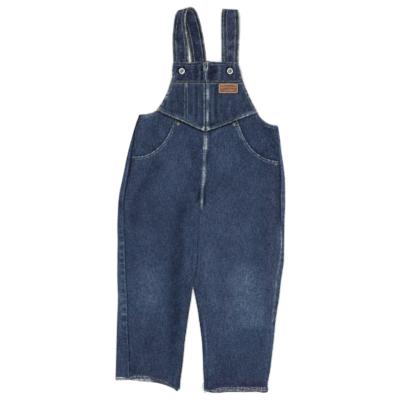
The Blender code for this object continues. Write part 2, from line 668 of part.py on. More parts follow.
denim = material("denim", (0.034, 0.062, 0.135), 0.85)
denim_double = material("denim_double", (0.030, 0.050, 0.115), 0.85)
tape = material("zip_tape", (0.020, 0.028, 0.055), 0.8)
steel = material("nickel", (0.62, 0.62, 0.60), 0.32, 1.0)
brass = material("aged_brass", (0.46, 0.34, 0.16), 0.42, 1.0)
leather = material("leather", (0.30, 0.12, 0.055), 0.6)

back_leg("back_leg_right", -1, denim)
back_leg("back_leg_left", 1, denim)
back_bib("back_bib", denim)
hip("hip_right", -1, denim)
hip("hip_left", 1, denim)
front_leg("front_leg_right", -1, denim)
front_leg("front_leg_left", 1, denim)
bib("bib_right", -1, denim)
bib("bib_left", 1, denim)
band("band_right", -1, BUTTONS["button_right"], denim_double)
band("band_left", 1, BUTTONS["button_left"], denim_double)
strap("strap_right", STRAP_R, (4, 13), denim_double)
strap("strap_left", STRAP_L, (5, 12), denim_double)
zip_strip("zip_tape_right", -10, -0.17, 286, -24, 0, TAPE, tape)
zip_strip("zip_tape_left", 0.17, 10, 286, -24, 0, TAPE, tape)
zip_strip("zip_chain", -2.7, 2.7, 276.3, ZIP_END, TAPE + 0.3, 2.0, steel)
zip_strip("zip_stop", -3.0, 3.0, ZIP_END - 0.3, ZIP_END - 2.8, TAPE + 0.3, 2.4, steel)
slider("zip_slider", steel)
pull_tab("zip_pull_tab", steel)
button("button_right", BUTTONS["button_right"], 2.9 + DOUBLE / 2, steel)
button("button_left", BUTTONS["button_left"], 3.9 + DOUBLE / 2, steel)
for rivet_name, rivet_place in RIVETS.items():
    rivet(rivet_name, rivet_place, brass)
label("label", leather)
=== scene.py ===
"""Looks of the child's dungarees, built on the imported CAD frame.

World axes: +X is the wearer's left, +Y points from the hems to the straps, +Z is up out of the
front. Sizes are in millimetres until a mesh is made. The tables give places on the laid-out
garment, as in the part's source: x from its middle line, y from a point at hip height.
"""

import math
import random

import bmesh
import bpy
import numpy as np
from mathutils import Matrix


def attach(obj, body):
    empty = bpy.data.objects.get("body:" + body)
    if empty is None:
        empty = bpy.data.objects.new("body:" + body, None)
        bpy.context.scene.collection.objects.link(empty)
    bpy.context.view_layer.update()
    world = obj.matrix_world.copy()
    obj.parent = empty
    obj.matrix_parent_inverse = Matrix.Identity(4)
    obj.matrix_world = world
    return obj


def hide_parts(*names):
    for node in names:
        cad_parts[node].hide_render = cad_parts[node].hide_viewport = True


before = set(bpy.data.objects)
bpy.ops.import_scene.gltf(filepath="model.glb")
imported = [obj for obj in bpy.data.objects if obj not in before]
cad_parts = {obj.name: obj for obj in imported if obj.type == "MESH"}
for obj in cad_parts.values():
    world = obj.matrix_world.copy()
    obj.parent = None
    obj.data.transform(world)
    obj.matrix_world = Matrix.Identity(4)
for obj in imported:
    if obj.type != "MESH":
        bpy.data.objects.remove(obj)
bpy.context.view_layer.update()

# --- driving sizes, mm ---
CLOTH = 1.2  # denim, one layer
DOUBLE = 2.4  # denim folded double: straps and bib band
TAPE = 1.0  # zip tape
CLEAR = 0.4  # between layers that lie on each other
SEAM = 0.17  # each side of a seam line
LAYER_GAP = 1.6  # air between back and front along every edge of the tube
FULL_GAP = 3.8  # most air between back and front
FOLD_RADIUS = (CLOTH + LAYER_GAP) / 2  # middle of the cloth where it turns at an edge
BIB_UNDER = 4.4  # underside of the bib above the table
LIFT = CLOTH + CLEAR  # rise of a layer that lies over another
ZIP_HALF = 3.3  # zip slit, half its width
ZIP_HALF_TOP = 5.3  # the same beside the slider
MIDDLE_X, MIDDLE_Y = 0.1, -2.0  # middle of the whole outline
ZIP_END, ZIP_TOP = -14.0, 276.3  # lowest and highest tooth
TEETH_COVERED = 140  # the bib covers the teeth above this
CROTCH = -182.5
BACK_ROWS = (2.0, 7.5)  # rows of stitches of the back's seams, from the edge
BAND_FOOT = 244.0  # seam of band and bib
BACK_TOP = 236.0  # top of the back bib
RIVET_R = 4.4
LABEL = (39.0, 222.6, 78.6, 241.8)  # x0, y0, x1, y1
SLIDER_L, SLIDER_W, SLIDER_H = 11.4, 8.8, 4.4
TAB_L, TAB_W, TAB_T = 13.5, 5.6, 1.0
TAB_Y = 282.1  # pin of the pull tab
TAB_LIFT = 1.0  # the same above the slider's body

# --- outline tables: y, x ---
EDGE_R = [  # fold at the wearer's right side
    (178, -127.5), (169.5, -131), (153.5, -136.5), (124, -145), (103, -150.5), (82, -155.5), (61, -159.5),
    (40, -164), (19, -168.5), (-2, -171.5), (-27, -173), (-54.5, -174), (-86, -173.5), (-128, -174),
    (-170, -174), (-212, -173), (-254, -174.5), (-306.5, -176), (-348.5, -177), (-380, -178),
]
EDGE_L = [  # fold at the wearer's left side
    (155, 163), (145, 164.5), (124, 167.5), (103, 169.5), (82, 172.5), (61, 175.5), (40, 177.5),
    (15, 178), (-12.5, 178), (-44, 176.5), (-75.5, 176), (-107, 175.5), (-132, 175), (-151, 172.5),
    (-171, 169.5), (-210, 165), (-233, 161), (-254, 158), (-296, 154), (-338, 149), (-359, 146.5),
    (-380, 142.5), (-390.5, 141), (-400, 142.5), (-406, 143.5),
]
WRAP_R = [  # cloth of the back that comes round to the front, from fold to seam
    (178, 3.2), (140, 3.4), (128, 6.3), (102, 8.2), (84, 10.4), (61, 11), (27, 11.4), (-12, 12.6),
    (-60, 14.8), (-128, 17.2), (-191, 19.8), (-245, 22.2), (-317, 27.2), (-380, 30.7),
]
WRAP_L = [
    (155, 4.6), (128, 5.2), (104, 5.2), (80, 6.3), (50, 8), (19, 9), (-44, 7), (-98, 4), (-123, 7),
    (-178, 10), (-212, 8.5), (-258, 6.5), (-291, 6.5), (-327, 5), (-384, 3.2), (-404, 3.2),
]
CENTRE = [  # slit of the zip, then the front seam down to the crotch
    (292, 9), (275, 9.5), (260, 11), (244, 11.5), (208, 11), (166, 11), (142, 11), (118, 10.5), (94.5, 9),
    (57, 8), (21, 4.5), (-8, 3), (-16.5, 1.5), (-48, -3.5), (-86, -5.5), (-117, -6), (-140, -7),
    (-158.5, -11), (-182.5, -15.5),
]
INNER_R = [
    (-182.5, -15.7), (-212, -19.5), (-233, -23), (-254, -26), (-275, -29), (-296, -32), (-317, -34),
    (-338, -36), (-359, -38.5), (-380, -41.5), (-396.5, -42.5), (-403, -42.8),
]
INNER_L = [
    (-182.5, -15.3), (-212, -9.5), (-233, -5.5), (-254, -2.5), (-275, 0.5), (-296, 3), (-317, 4.5),
    (-338, 5.5), (-359, 6), (-380, 7.3), (-404, 7.8),
]
ARMHOLE_R = [  # free side edge of bib and band
    (292, -56.5), (288, -57), (271, -59), (254.5, -60), (245, -62.5), (229, -68), (212.5, -75.2),
    (204, -79.6), (195.5, -85.4), (186.5, -91.8),
]
ARMHOLE_L = [
    (292, 77.6), (286, 79.1), (271, 84.1), (254.5, 87.6), (245, 90.7), (229, 97.2), (212.5, 104.3),
    (195.5, 112.9), (182.5, 120),
]

# --- outline tables: x, y ---
BIB_FOOT = [  # point of the bib, lapped over the legs
    (-91.5, 187.5), (-63.5, 174.7), (-32, 161), (-15, 152.9), (1.5, 145.8), (11, 142.7), (18.5, 144.9),
    (30, 148.6), (41.5, 152.5), (66, 161.7), (79.5, 167.5), (98, 174.3), (108, 178), (120, 182.4),
]
BAND_TOP = [
    (-58, 286.6), (-52, 288), (-30, 287.4), (-22, 286.8), (3, 289), (9, 290.3), (16, 290), (23, 288.6),
    (40, 287.6), (70, 286.5), (80, 285.5),
]
BACK_YOKE = [(-128, 177.3), (-63.5, 168), (10, 162), (83.5, 157.5), (163, 154.3)]
POCKET_R = [  # opening, then on under the bib
    (-147.5, 89), (-128.5, 89.5), (-116, 91), (-103.5, 97), (-88.5, 107.5), (-75, 122), (-63.5, 142),
    (-53.5, 167), (-49.5, 178),
]
POCKET_L = [
    (167.5, 78.5), (150.5, 81), (136, 85.5), (121.5, 94), (107, 106.5), (95, 124), (85.5, 144), (77, 167),
    (73, 177),
]
HEM_FRONT_R = [
    (-178, -373), (-164.5, -372), (-156.5, -375), (-148.5, -375.6), (-141, -373), (-133, -372),
    (-126, -371.8), (-108, -373), (-90, -378), (-78, -382.4), (-66, -388.8), (-54, -397), (-48, -402),
    (-42.5, -395.5),
]
HEM_BACK_R = [
    (-178, -380.9), (-162, -380), (-150.5, -379.7), (-126, -382.7), (-108, -384), (-90, -386.2),
    (-72, -391.2), (-54, -399.2), (-48, -403.3), (-42.5, -396.5),
]
HEM_FRONT_L = [
    (7.5, -399.5), (16.5, -402.2), (24, -401.8), (31, -400.3), (40, -397.6), (49, -396.4), (75, -395.6),
    (104.5, -395.6), (134.5, -396.3), (143, -395.5),
]
HEM_BACK_L = [
    (7.5, -402.5), (22, -406.4), (60.5, -405), (88, -405.2), (119, -405), (137, -406), (143.5, -403),
]
# --- hip pieces behind the pocket openings: seen edge and hidden edge, side seam first ---
HIP_TOP_R = [
    (-124.5, 178), (-114, 178.5), (-107, 180), (-100.5, 181.5), (-95, 184.2), (-90, 186.5), (-82, 187.5),
    (-70, 183.5), (-58, 178), (-46, 172),
]
HIP_LOW_R = [
    (-152.5, 71), (-138, 70.5), (-124, 71.5), (-110, 76), (-97, 83), (-84, 92), (-72, 104), (-61, 119),
    (-52, 134), (-44.5, 150),
]
HIP_TOP_L = [
    (160, 155), (154, 155.5), (144.5, 158.1), (135, 164.1), (127, 171), (122.4, 177.6), (117.6, 184.2),
    (104, 184.8), (88, 178), (69, 170.5),
]
HIP_LOW_L = [
    (168, 60), (156, 61), (144, 64), (132, 69), (120, 76), (108, 86), (97, 98), (86.5, 113), (77, 130),
    (68, 148),
]

# --- soft folds of the front: x0, y0, x1, y1, half width, height (below 0: a trough) ---
FOLDS = [
    (-38, -20, -50, -130, 13, -1.2), (-50, -125, -58, -250, 13, -1.2), (-58, -240, -52, -345, 12, -1.1),
    (-72, -40, -90, -270, 26, 2), (-84, -250, -78, -350, 22, 1.4), (-24, -60, -36, -215, 13, 1.7),
    (-40, -225, -44, -345, 10, 1.3), (-124, -50, -132, -270, 24, 1.3), (-110, 40, -118, -60, 22, 1),
    (-60, 60, -52, -30, 20, 0.9), (66, 50, 78, -70, 26, 1.1), (84, -60, 96, -250, 36, 1.8),
    (100, -240, 92, -360, 30, 1.3), (28, -190, 38, -345, 15, 1.5), (136, -120, 124, -330, 16, 1.1),
    (30, -20, 22, -130, 16, 1.2), (140, 30, 142, -80, 18, 1), (52, -120, 58, -300, 12, -1),
    (10, -110, 62, -30, 15, 0.8), (-14, -110, -70, -30, 15, 0.8),
]

# --- straps: left edge x, y, z, then right edge x, y, z of the middle of the cloth ---
STRAP_R = [
    (-54.5, 250, 2.9, -21.5, 250, 2.9), (-56, 270, 2.9, -22.5, 270, 2.9),
    (-56.5, 289, 2.9, -24, 289, 2.9), (-58, 319.5, 2.7, -25, 319.5, 4.2),
    (-58, 342.5, 2.6, -27.5, 343, 7.5), (-56.3, 360, 3, -30, 361, 11.5), (-54.5, 374, 4, -31, 376, 14.2),
    (-52, 386, 5.6, -29.5, 389, 15.2), (-48, 393, 6.4, -25.5, 397.5, 14.4),
    (-44, 395, 5.6, -19.2, 401.6, 11.6), (-41.5, 393, 3.9, -13.4, 400.3, 7.8),
    (-39, 386, 2.2, -7.4, 392.6, 4.4), (-36.5, 374, 1.2, -2, 377.8, 2.1),
    (-32.5, 360, 1.2, 2.6, 361.1, 1.2), (-27, 340, 1.2, 7, 339, 1.2), (-22, 312, 1.2, 11.2, 311, 1.2),
    (-19.6, 290, 1.2, 13.4, 289, 1.2), (-15, 262, 1.2, 17, 262, 1.2), (-12, 236.4, 1.2, 20.5, 236.4, 1.2),
]
STRAP_L = [
    (46.5, 250, 3.9, 80.5, 250, 3.9), (46.3, 270, 3.9, 80.2, 270, 3.9), (46, 289, 3.9, 79.6, 289, 3.9),
    (44.6, 322, 3.9, 81.3, 322, 3.9), (44.1, 352, 4, 82.5, 352, 4), (44.1, 373, 5.2, 82.3, 372, 5.2),
    (44.4, 385, 7.3, 81.6, 384, 7.3), (45, 392, 8.1, 80.6, 391, 8.1), (46, 395.8, 7.4, 79.8, 394.4, 7.4),
    (46.6, 398, 5.2, 79.2, 396.4, 5.2), (46.2, 397.2, 3, 79.6, 395.6, 3),
    (45.4, 393.5, 1.5, 80.4, 392, 1.5), (44.9, 384, 1.2, 81, 383, 1.2), (44.5, 350, 1.2, 80.5, 350, 1.2),
    (44.5, 300, 1.2, 80.5, 300, 1.2), (45.5, 262, 1.2, 80.8, 262, 1.2), (46, 236.4, 1.2, 81, 236.4, 1.2),
]

BUTTONS = {"button_right": (-38.5, 269.0), "button_left": (62.5, 269.0)}
RIVETS = {  # x, y, radius
    "rivet_right_top": (-46, 159, RIVET_R), "rivet_left_top": (71.5, 157.5, RIVET_R),
    "rivet_right_side": (-140.5, 82.5, 3.6), "rivet_left_side": (159, 73, 3.6),
}

# --- what the solids leave out: strokes x0, y0, x1, y1, half width, amount ---
CREASES = [  # heights on the legs' front, mm
    (-126, 30, -132, -60, 6, -0.5), (-118, 10, -96, -70, 8, 0.45), (-140, -90, -128, -190, 6, 0.4),
    (-100, -150, -72, -176, 6, -0.4), (-128, -176, -96, -196, 7, 0.45), (-88, -214, -64, -196, 6, 0.4),
    (-132, -236, -100, -250, 7, -0.35), (-96, -262, -64, -300, 7, 0.4), (-138, -300, -112, -330, 7, 0.35),
    (-30, 20, -34, -60, 5, -0.4), (-20, -30, -27, -120, 5, 0.4), (-60, 100, -84, 40, 8, 0.4),
    (26, 70, 40, 0, 7, 0.4), (20, -10, 28, -60, 4.5, -0.4), (120, 40, 104, -40, 8, 0.4),
    (150, 20, 152, -70, 6, 0.45), (142, -60, 146, -150, 5, -0.4), (60, -150, 92, -168, 7, 0.4),
    (78, -178, 116, -186, 6, -0.35), (70, -214, 104, -204, 7, 0.45), (100, -238, 132, -226, 6, -0.35),
    (24, -196, 44, -236, 6, 0.4), (44, -286, 72, -322, 8, 0.4), (112, -300, 128, -352, 6, 0.35),
    (4, -60, 2, -130, 4, 0.35), (-70, -120, -58, -200, 6, 0.3), (30, -340, 52, -392, 8, -0.3),
    (-120, -330, -88, -366, 8, -0.3),
]
BIB_CREASES = [
    (-9, 236, -12, 176, 3.2, 0.7), (-3.5, 238, -6, 160, 2.2, -0.4), (25, 240, 26, 160, 3, 0.6),
    (35, 236, 37, 172, 3, 0.5), (30, 232, 31, 166, 2.4, -0.4), (-60, 232, -52, 190, 6, -0.35),
    (70, 216, 96, 196, 7, 0.4), (50, 200, 60, 170, 6, -0.3), (-70, 210, -84, 194, 5, 0.35),
]
BACK_CREASES = [  # on the back, only up from the table
    (-120, 60, -40, 96, 8, 0.5), (-130, -20, -60, 10, 9, 0.5), (-150, -130, -80, -118, 7, 0.6),
    (-140, -176, -84, -150, 7, 0.7), (-150, -210, -92, -196, 6, 0.6), (-120, -280, -70, -262, 8, 0.5),
    (30, 94, 118, 62, 8, 0.5), (50, 8, 138, -26, 9, 0.5), (60, -122, 148, -132, 7, 0.6),
    (52, -150, 128, -174, 7, 0.7), (40, -196, 120, -206, 6, 0.6), (60, -262, 118, -282, 8, 0.5),
    (-20, 120, -26, 20, 6, 0.4), (40, 120, 34, 20, 6, 0.4),
]
FADES_AND_SHADE = [  # tone on the legs' front: above 0 worn light; below 0 mostly painted shade of troughs, creases and beside the zip
    (-112, -136, -108, -250, 34, 0.11), (-114, -160, -102, -224, 13, 0.03),
    (-112, -60, -112, -110, 30, 0.02), (-38, -4, -50, -110, 11, -0.1), (-49, -104, -56, -210, 12, -0.14),
    (-56, -200, -57, -300, 13, -0.15), (-82, 86, -126, 18, 10, -0.1), (-126, 22, -146, -60, 10, -0.08),
    (-60, -290, -56, -350, 9, -0.06), (-136, -60, -138, -160, 8, -0.04), (-24, -60, -30, -170, 9, 0.05),
    (-30, -200, -44, -300, 7, 0.03), (-100, -290, -96, -372, 26, -0.04), (-6, -36, -12, -170, 4, 0.05),
    (88, -146, 96, -232, 27, 0.13), (106, -222, 116, -270, 20, 0.12), (72, -110, 86, -290, 46, 0.1),
    (40, -200, 60, -300, 20, 0.05), (16, -90, 30, -230, 12, 0.09), (66, 40, 70, -110, 48, 0.05),
    (40, 110, 60, 60, 24, 0.06), (60, -330, 70, -390, 34, -0.03), (132, -140, 130, -290, 11, 0.07),
    (150, 20, 156, -100, 8, -0.02), (25, 142, 18, 132, 3, -0.15), (38, 143, 23, 129, 2.4, 0.13),
    (161, 4, 163, -32, 2.2, 0.14), (76, 151, 78.5, 138, 1.5, 0.25), (82.5, 147, 85.5, 139, 1.5, 0.22),
    (8, 130, 0, 104, 5, -0.07), (72, 152, 80, 130, 7, 0.04), (-44, 150, -24, 142, 6, -0.08),
    (-20, 144, -20, 132, 2, 0.08), (60, 142, 48, 120, 10, 0.03), (-60, 60, -90, 0, 30, 0.03),
    (-108, -150, -108, -230, 24, 0.03), (-0.5, 26, -3.5, -6, 2.4, -0.26), (10.5, 38, 7, -12, 2.7, -0.28),
    (20, 110, 16, 60, 9, -0.07), (11.6, 134, 10.8, 98, 4.6, 0.42), (9, 98, 8.4, 76, 2.8, 0.24),
    (8.8, 76, 7.6, 34, 3.9, 0.34), (6.2, 40, 4.4, 2, 2.9, 0.26), (4.2, 6, 3.2, -16, 2.7, 0.2),
    (14.5, 96, 12.6, 70, 2.6, -0.1), (-8, 120, -6, 60, 9, -0.06), (-30, 30, -36, -30, 10, -0.03),
    (-40, 130, -60, 60, 16, 0.02), (-138, -335, -136, -380, 8, -0.08), (-14, -100, -16, -176, 14, 0.05),
    (8, -110, 6, -200, 9, 0.06), (-106, -50, -108, -160, 24, 0.045), (95, 4, 95, -50, 24, -0.06),
    (157, 60, 150, -200, 9, 0.06), (-118, -245, -118, -285, 12, 0.07), (20, -300, 24, -375, 16, 0.05),
    (20, -392, 140, -392, 7, -0.06), (84, -390, 140, -390, 8, -0.08), (-150, 40, -140, 96, 8, -0.06),
    (-128, -24, -126, -60, 7, -0.05), (-30, 110, -24, 60, 10, 0.05), (-14, 60, -16, 10, 12, -0.04),
    (-60, -160, -66, -240, 9, 0.04), (54, 90, 50, 40, 20, 0.04), (-34, -246, -40, -330, 8, 0.05),
    (-3.5, 12, -4, -7, 1.3, -0.16), (9.8, 3, 9.4, -14, 1.5, -0.22), (3.6, 0, 3.2, -22, 2.2, 0.24),
    (-17, -140, -17, -200, 10, 0.05), (-67, -225, -66, -285, 12, 0.05),
    (-155, -350, -140, -366, 10, -0.06), (26, 148, 66, 152, 8, 0.06), (-110, -369, -72, -378, 6, -0.09),
    (-66, -387, -57, -394, 3, -0.22), (70, -163, 95, -157, 6, -0.08), (92, -226, 96, -246, 7, -0.07),
    (-38, -78, -40, -150, 6, -0.06), (80, 149, 87, 124, 2.4, 0.1), (9.4, 42, 8.6, 24, 2, 0.12),
    (4, 17, 3.6, 1, 1.8, -0.14), (1.2, -2.6, 1.5, -5.5, 1.8, -0.25), (14, -397, 23, -398, 1.8, -0.15),
]
WARM = [  # redder (above 0) or cooler blue on the legs' front
    (160, 70, 150, -180, 16, 1), (14, -390, 142, -390, 12, 1.5), (84, -388, 142, -388, 12, 1.4),
    (-140, 70, -142, -10, 14, 0.7), (-150, -90, -150, -230, 12, -0.6), (98, -190, 100, -300, 28, -0.7),
    (-58, -120, -58, -290, 22, -0.7), (-120, -366, -50, -380, 8, 0.6), (60, 40, 130, 20, 30, 0.3),
    (-110, -340, -100, -375, 24, 0.3),
]
# tone on the hip pieces: painted shadow under the bib's foot, darker patches and worn light
HIP_FADES_AND_SHADE = [
    (-80, 180, -55, 168.5, 2.2, -0.3), (-124, 176, -100, 178, 7, 0.14), (-94, 182, -74, 180, 5, -0.07),
    (122, 168, 146, 132, 9, -0.09), (-133, 130, -139, 98, 2.2, 0.04), (-110, 150, -96, 118, 12, -0.06),
    (152, 150, 160, 88, 9, -0.09), (-125, 118, -92, 100, 9, -0.05), (-118, 112, -93, 100, 10, -0.035),
    (134, 112, 134, 94, 10, -0.035), (149, 118, 150, 94, 4, -0.08),
]
# tone on the bib: worn light and painted shade of its creases; along the zip's edges, light that is partly
# worn and partly painted highlight
BIB_FADES_AND_SHADE = [
    (15.6, 232, 16, 206, 3.2, 0.22), (15.4, 186, 15.6, 162, 1.7, 0.2), (15.8, 242, 15.3, 150, 2.5, 0.2),
    (8.2, 240, 8.8, 150, 1.6, 0.22), (4, 240, 4.4, 150, 1.9, -0.17), (20.6, 206, 20.6, 154, 1.8, -0.14),
    (-14, 240, -14, 206, 4, 0.02), (-14, 198, -14, 168, 2.2, 0.09), (-8, 240, -8, 166, 2.6, -0.2),
    (-3.7, 240, -4, 160, 1.5, 0.07), (-0.8, 234, -0.8, 204, 2, -0.08), (27, 238, 27, 200, 2.2, 0.13),
    (26, 206, 26, 166, 2.2, 0.08), (33.4, 238, 32.6, 166, 2.6, -0.19), (39.5, 234, 38.5, 172, 2.4, 0.05),
    (8, 152, 4.5, 144.5, 2.4, 0.5), (15, 152, 19, 144.5, 2.4, 0.5), (-6, 157.5, 3, 154, 2.4, -0.25),
    (22, 155, 31, 157.5, 2.4, -0.3), (-83, 193, -90, 188, 2, 0.3), (-71, 184, -38, 181, 4, -0.12),
    (-72, 178.8, -54, 170.8, 1.8, -0.12), (36, 152, 54, 159, 2, -0.2),
    (-47, 177.5, -28, 168.8, 1.8, 0.14), (-28, 168.8, -10, 161, 1.8, 0.08), (30, 236, 80, 232, 12, -0.03),
    (-35.5, 238, -35.5, 166, 1.6, -0.06), (-48.5, 234, -47.5, 206, 3, -0.11),
    (-42.5, 234, -42.5, 206, 2.2, 0.09), (-38, 200, -37, 170, 4, -0.07), (-63, 236, -71, 206, 5, 0.12),
    (50, 202, 51, 166, 6, -0.09), (61.4, 192, 61.4, 170, 2, 0.07), (62, 212, 84, 182, 20, 0.02),
    (-24, 180, -8, 150, 3, 0.07), (-20, 200, -22, 176, 5, -0.09), (18, 153, 44, 162, 5, -0.13),
    (84, 190, 104, 198, 7, -0.07), (55, 210, 60, 204, 8, -0.08), (16.2, 245, 16, 236, 2.2, 0.12),
    (7.9, 245, 7.9, 234, 1.8, 0.18),
]
STRAP_FADES = [
    (59, 357, 61, 354, 2, -0.22), (64, 352, 66, 350, 1.6, -0.18), (67, 341, 69, 339, 2, -0.24),
    (58, 345, 59, 343, 1.5, -0.16), (65, 347, 66, 344, 2, 0.2), (60, 352, 60, 350, 1.4, 0.14),
    (70, 330, 66, 318, 3, -0.08), (-50, 330, -46, 300, 5, 0.05), (-48, 372, -44, 352, 4, -0.06),
    (52, 376, 53, 292, 8, 0.12), (48, 380, 48.5, 292, 2, 0.1), (-30, 330, -28, 292, 3, 0.08),
    (-35.5, 340, -34.5, 294, 2.4, -0.07), (60, 330, 62, 322, 4, 0.1), (64, 312, 60, 304, 4, 0.08),
    (-38, 392, -40, 366, 4, -0.13), (-46, 392, -36, 397.5, 3, -0.22),
]
# tone on the band: worn light, darker patches, and painted shade in the fold beside the zip
BAND_FADES_AND_SHADE = [
    (-54.5, 286, -58, 246, 3.6, 0.22), (-29.6, 282, -29.6, 248, 2.2, 0.15),
    (-23.5, 282, -23.5, 248, 2.4, -0.11), (-9, 284, -8, 246, 4, -0.21), (-1, 280, -1, 250, 1.6, 0.07),
    (3.6, 278, 3.2, 246, 2.6, -0.3), (15.8, 290, 15.2, 268, 1.9, 0.48), (12.6, 282, 12, 240, 2.4, 0.42),
    (16, 251, 17, 243, 1.9, 0.22), (22.5, 286, 23, 246, 8, -0.22), (39.6, 286, 39.6, 246, 3, 0.2),
    (46, 282, 46, 250, 2, -0.06), (50, 282, 50.6, 248, 2.4, 0.14), (56, 262, 58, 250, 3, 0.1),
    (71, 284, 71.4, 248, 2.4, 0.2), (74.6, 284, 75.5, 248, 1.6, -0.09), (81, 280, 85, 248, 3, 0.17),
    (-43.5, 262, -42, 248, 4, -0.08), (90, 262, 92, 248, 2.5, 0.08), (16, 287, 26, 286, 1.6, 0.3),
    (18, 281, 31, 281.6, 1.8, 0.4), (24, 285, 26, 282, 2, 0.3), (33.5, 286, 34.6, 283, 1.6, -0.3),
    (-28, 285.5, -14, 284.5, 2.2, 0.28),
]
BACK_FADES = [
    (-84, 96, -92, 8, 34, 0.12), (88, 96, 96, 8, 34, 0.12), (-104, -150, -104, -210, 26, 0.05),
    (92, -150, 96, -210, 24, 0.05), (-20, 40, -24, -60, 8, -0.06), (26, 40, 16, -60, 8, -0.06),
]
# --- tones along the side and inner seams and the hems: y (or depth in mm), tone ---
FRONT_TONE = [  # strip of the left leg's front beside the side seam
    (-400, 0.03), (-265, 0.05), (-195, 0.06), (-126, 0.04), (-62, 0.08), (-50, 0), (80, 0),
]
CLOSE_TONE = [  # right at that seam
    (-400, 0.09), (-336, 0.09), (-300, 0.05), (-190, 0), (-60, 0.06), (-50, 0), (10, 0), (26, -0.08),
    (80, -0.06),
]
INNER_TONE = [  # along the inner seam of the left leg
    (-400, -0.14), (-350, -0.1), (-335, 0.08), (-250, 0.1), (-235, 0.04), (-190, 0),
]
WRAP_TONE_R = [  # cloth that comes round from the back
    (-380, 0), (-330, 0.01), (-290, 0.02), (-230, 0.13), (-170, 0.15), (-110, 0.11), (-60, 0),
    (-26, -0.01), (-18, -0.09), (-9, -0.09), (0, 0.03), (20, 0), (60, 0.04), (90, 0.02), (178, -0.05),
]
WRAP_TONE_L = [
    (-400, 0.08), (-340, 0.07), (-300, 0.16), (-240, 0.1), (-160, 0.09), (-120, 0.07), (-60, 0.08),
    (-20, 0.18), (20, 0.17), (60, 0.22), (90, 0.21), (155, 0.18),
]
JOINT_TONE = [  # line where it meets the left leg's front
    (-276, -0.05), (-258, 0.25), (-110, 0.25), (-98, 0), (-48, 0), (-38, 0.14), (4, 0.12), (16, -0.02),
    (30, -0.27),
]
HEM_SHADE_L = [  # inside of the back hem, by the depth under the front hem
    (-1, -0.04), (3, 0), (5, -0.02), (7, -0.03), (12, 0),
]
HEM_SHADE_R = [
    (-1, -0.1), (2, 0), (4.2, -0.14), (6.3, 0.2), (12, 0.2),
]
INNER_SEAM_L = [(-12, -190), (-5, -203), (2, -227), (8.5, -259), (13, -300), (14.5, -350), (15, -397)]
SIDE_OF_BIB_SEAM = [(-29.7, 243.6), (-29.6, 200), (-30, 159)]  # worn double seam beside the zip

LOOSE = [  # longer loose yarns at the hems' corners
    [(9, -390, 3.6), (5.5, -391.5, 2.6), (2.6, -393.5, 1.4)],
    [(9, -394, 2.8), (5, -396, 2.2), (1.4, -396.5, 1)],
    [(10, -398, 2.4), (6.5, -400.5, 1.4), (3.4, -403.5, 0.6)],
    [(13, -403, 1.6), (10, -406, 0.9), (6, -406.5, 0.5)],
    [(8, -386, 3.4), (5.2, -387, 2.6), (4.2, -389.5, 2)],
    [(-177.4, -374.4, 3.6), (-172, -373.8, 4.2), (-166, -374.6, 4), (-160, -374.2, 4), (-156, -375.6, 3.8)],
    [(-177, -375.6, 3), (-171, -375, 3.2), (-165, -375.8, 3.2), (-161, -375.2, 3.4)],
    [(-163, -379, 1.2), (-160, -378.2, 1.6), (-156, -379.4, 1), (-151, -378.4, 1.4), (-146, -379.2, 1),
     (-142, -378.6, 1.4)],
    [(-159, -376, 3.2), (-155, -377.4, 2.4), (-152, -376.4, 3)],
]

THREAD_PITCH, THREAD_LENGTH, THREAD_R = 3.2, 2.5, 0.36
STRAP_ROWS = {"strap_right": ((1.8, 7.2), (1.4, 7.4)), "strap_left": ((4.6, 11.4), (1.6, 8.3))}
TOOTH_PITCH, TOOTH_W = 2.0, 0.82  # along the chain on each side
BIB_LIP_R, BIB_LIP_L = 1.2, 0.6  # edges of the bib over the zip, from its middle line
FLOOR = -0.4
CAMERA_AWAY = 5.0  # m
VIEW_WIDE = 0.84  # m, width that the picture takes in
VIEW_X, VIEW_Y = -0.0006, 0.0001  # m, middle of the picture


# --- curves and fields ---
def along(table, q):
    """Value at key q on the smooth curve through the (key, value) rows; held past the ends."""
    rows = np.array(sorted(table), float)
    k, v = rows[:, 0], rows[:, 1]
    slope = np.diff(v) / np.diff(k)
    tangent = np.empty(len(k))
    tangent[0], tangent[-1] = slope[0], slope[-1]
    gap = np.diff(k)
    tangent[1:-1] = (slope[:-1] * gap[1:] + slope[1:] * gap[:-1]) / (gap[:-1] + gap[1:])
    q = np.clip(q, k[0], k[-1])
    i = np.clip(np.searchsorted(k, q, side="right") - 1, 0, len(gap) - 1)
    t, h = (q - k[i]) / gap[i], gap[i]
    return (
        (2 * t**3 - 3 * t**2 + 1) * v[i]
        + (t**3 - 2 * t**2 + t) * h * tangent[i]
        + (3 * t**2 - 2 * t**3) * v[i + 1]
        + (t**3 - t**2) * h * tangent[i + 1]
    )


def line(table, q):
    """The same with straight runs between the rows."""
    rows = np.array(sorted(table), float)
    return np.interp(q, rows[:, 0], rows[:, 1])


def ease(low, high, q):
    """Smooth step: 0 up to low, 1 from high on."""
    t = np.clip((q - low) / (high - low), 0, 1)
    return t * t * (3 - 2 * t)


def fall(low, high, q):
    """The same turned over: 1 up to low, 0 from high on."""
    return 1 - ease(low, high, q)


def bell(q, width, middle=0.0):
    """Hump of height 1 round the middle."""
    return np.exp(-(((q - middle) / width) ** 2))


def trace(path, points):
    """Distance from points to an open path, and the run along the path to the nearest place."""
    path, points = np.asarray(path, float), np.asarray(points, float)
    flat = points.reshape(-1, points.shape[-1])[:, : path.shape[1]]
    best, run, done = np.full(len(flat), 1e6), np.zeros(len(flat)), 0.0
    for a, b in zip(path[:-1], path[1:]):
        length = np.linalg.norm(b - a)
        t = np.clip((flat - a) @ (b - a) / length**2, 0, 1)
        away = np.linalg.norm(flat - a - t[:, None] * (b - a), axis=1)
        nearer = away < best
        best[nearer] = away[nearer]
        run[nearer] = done + t[nearer] * length
        done += length
    return best.reshape(points.shape[:-1]), run.reshape(points.shape[:-1])


def plan(x, y):
    """Points (x, y) from two arrays."""
    return np.stack(np.broadcast_arrays(np.asarray(x, float), np.asarray(y, float)), -1)


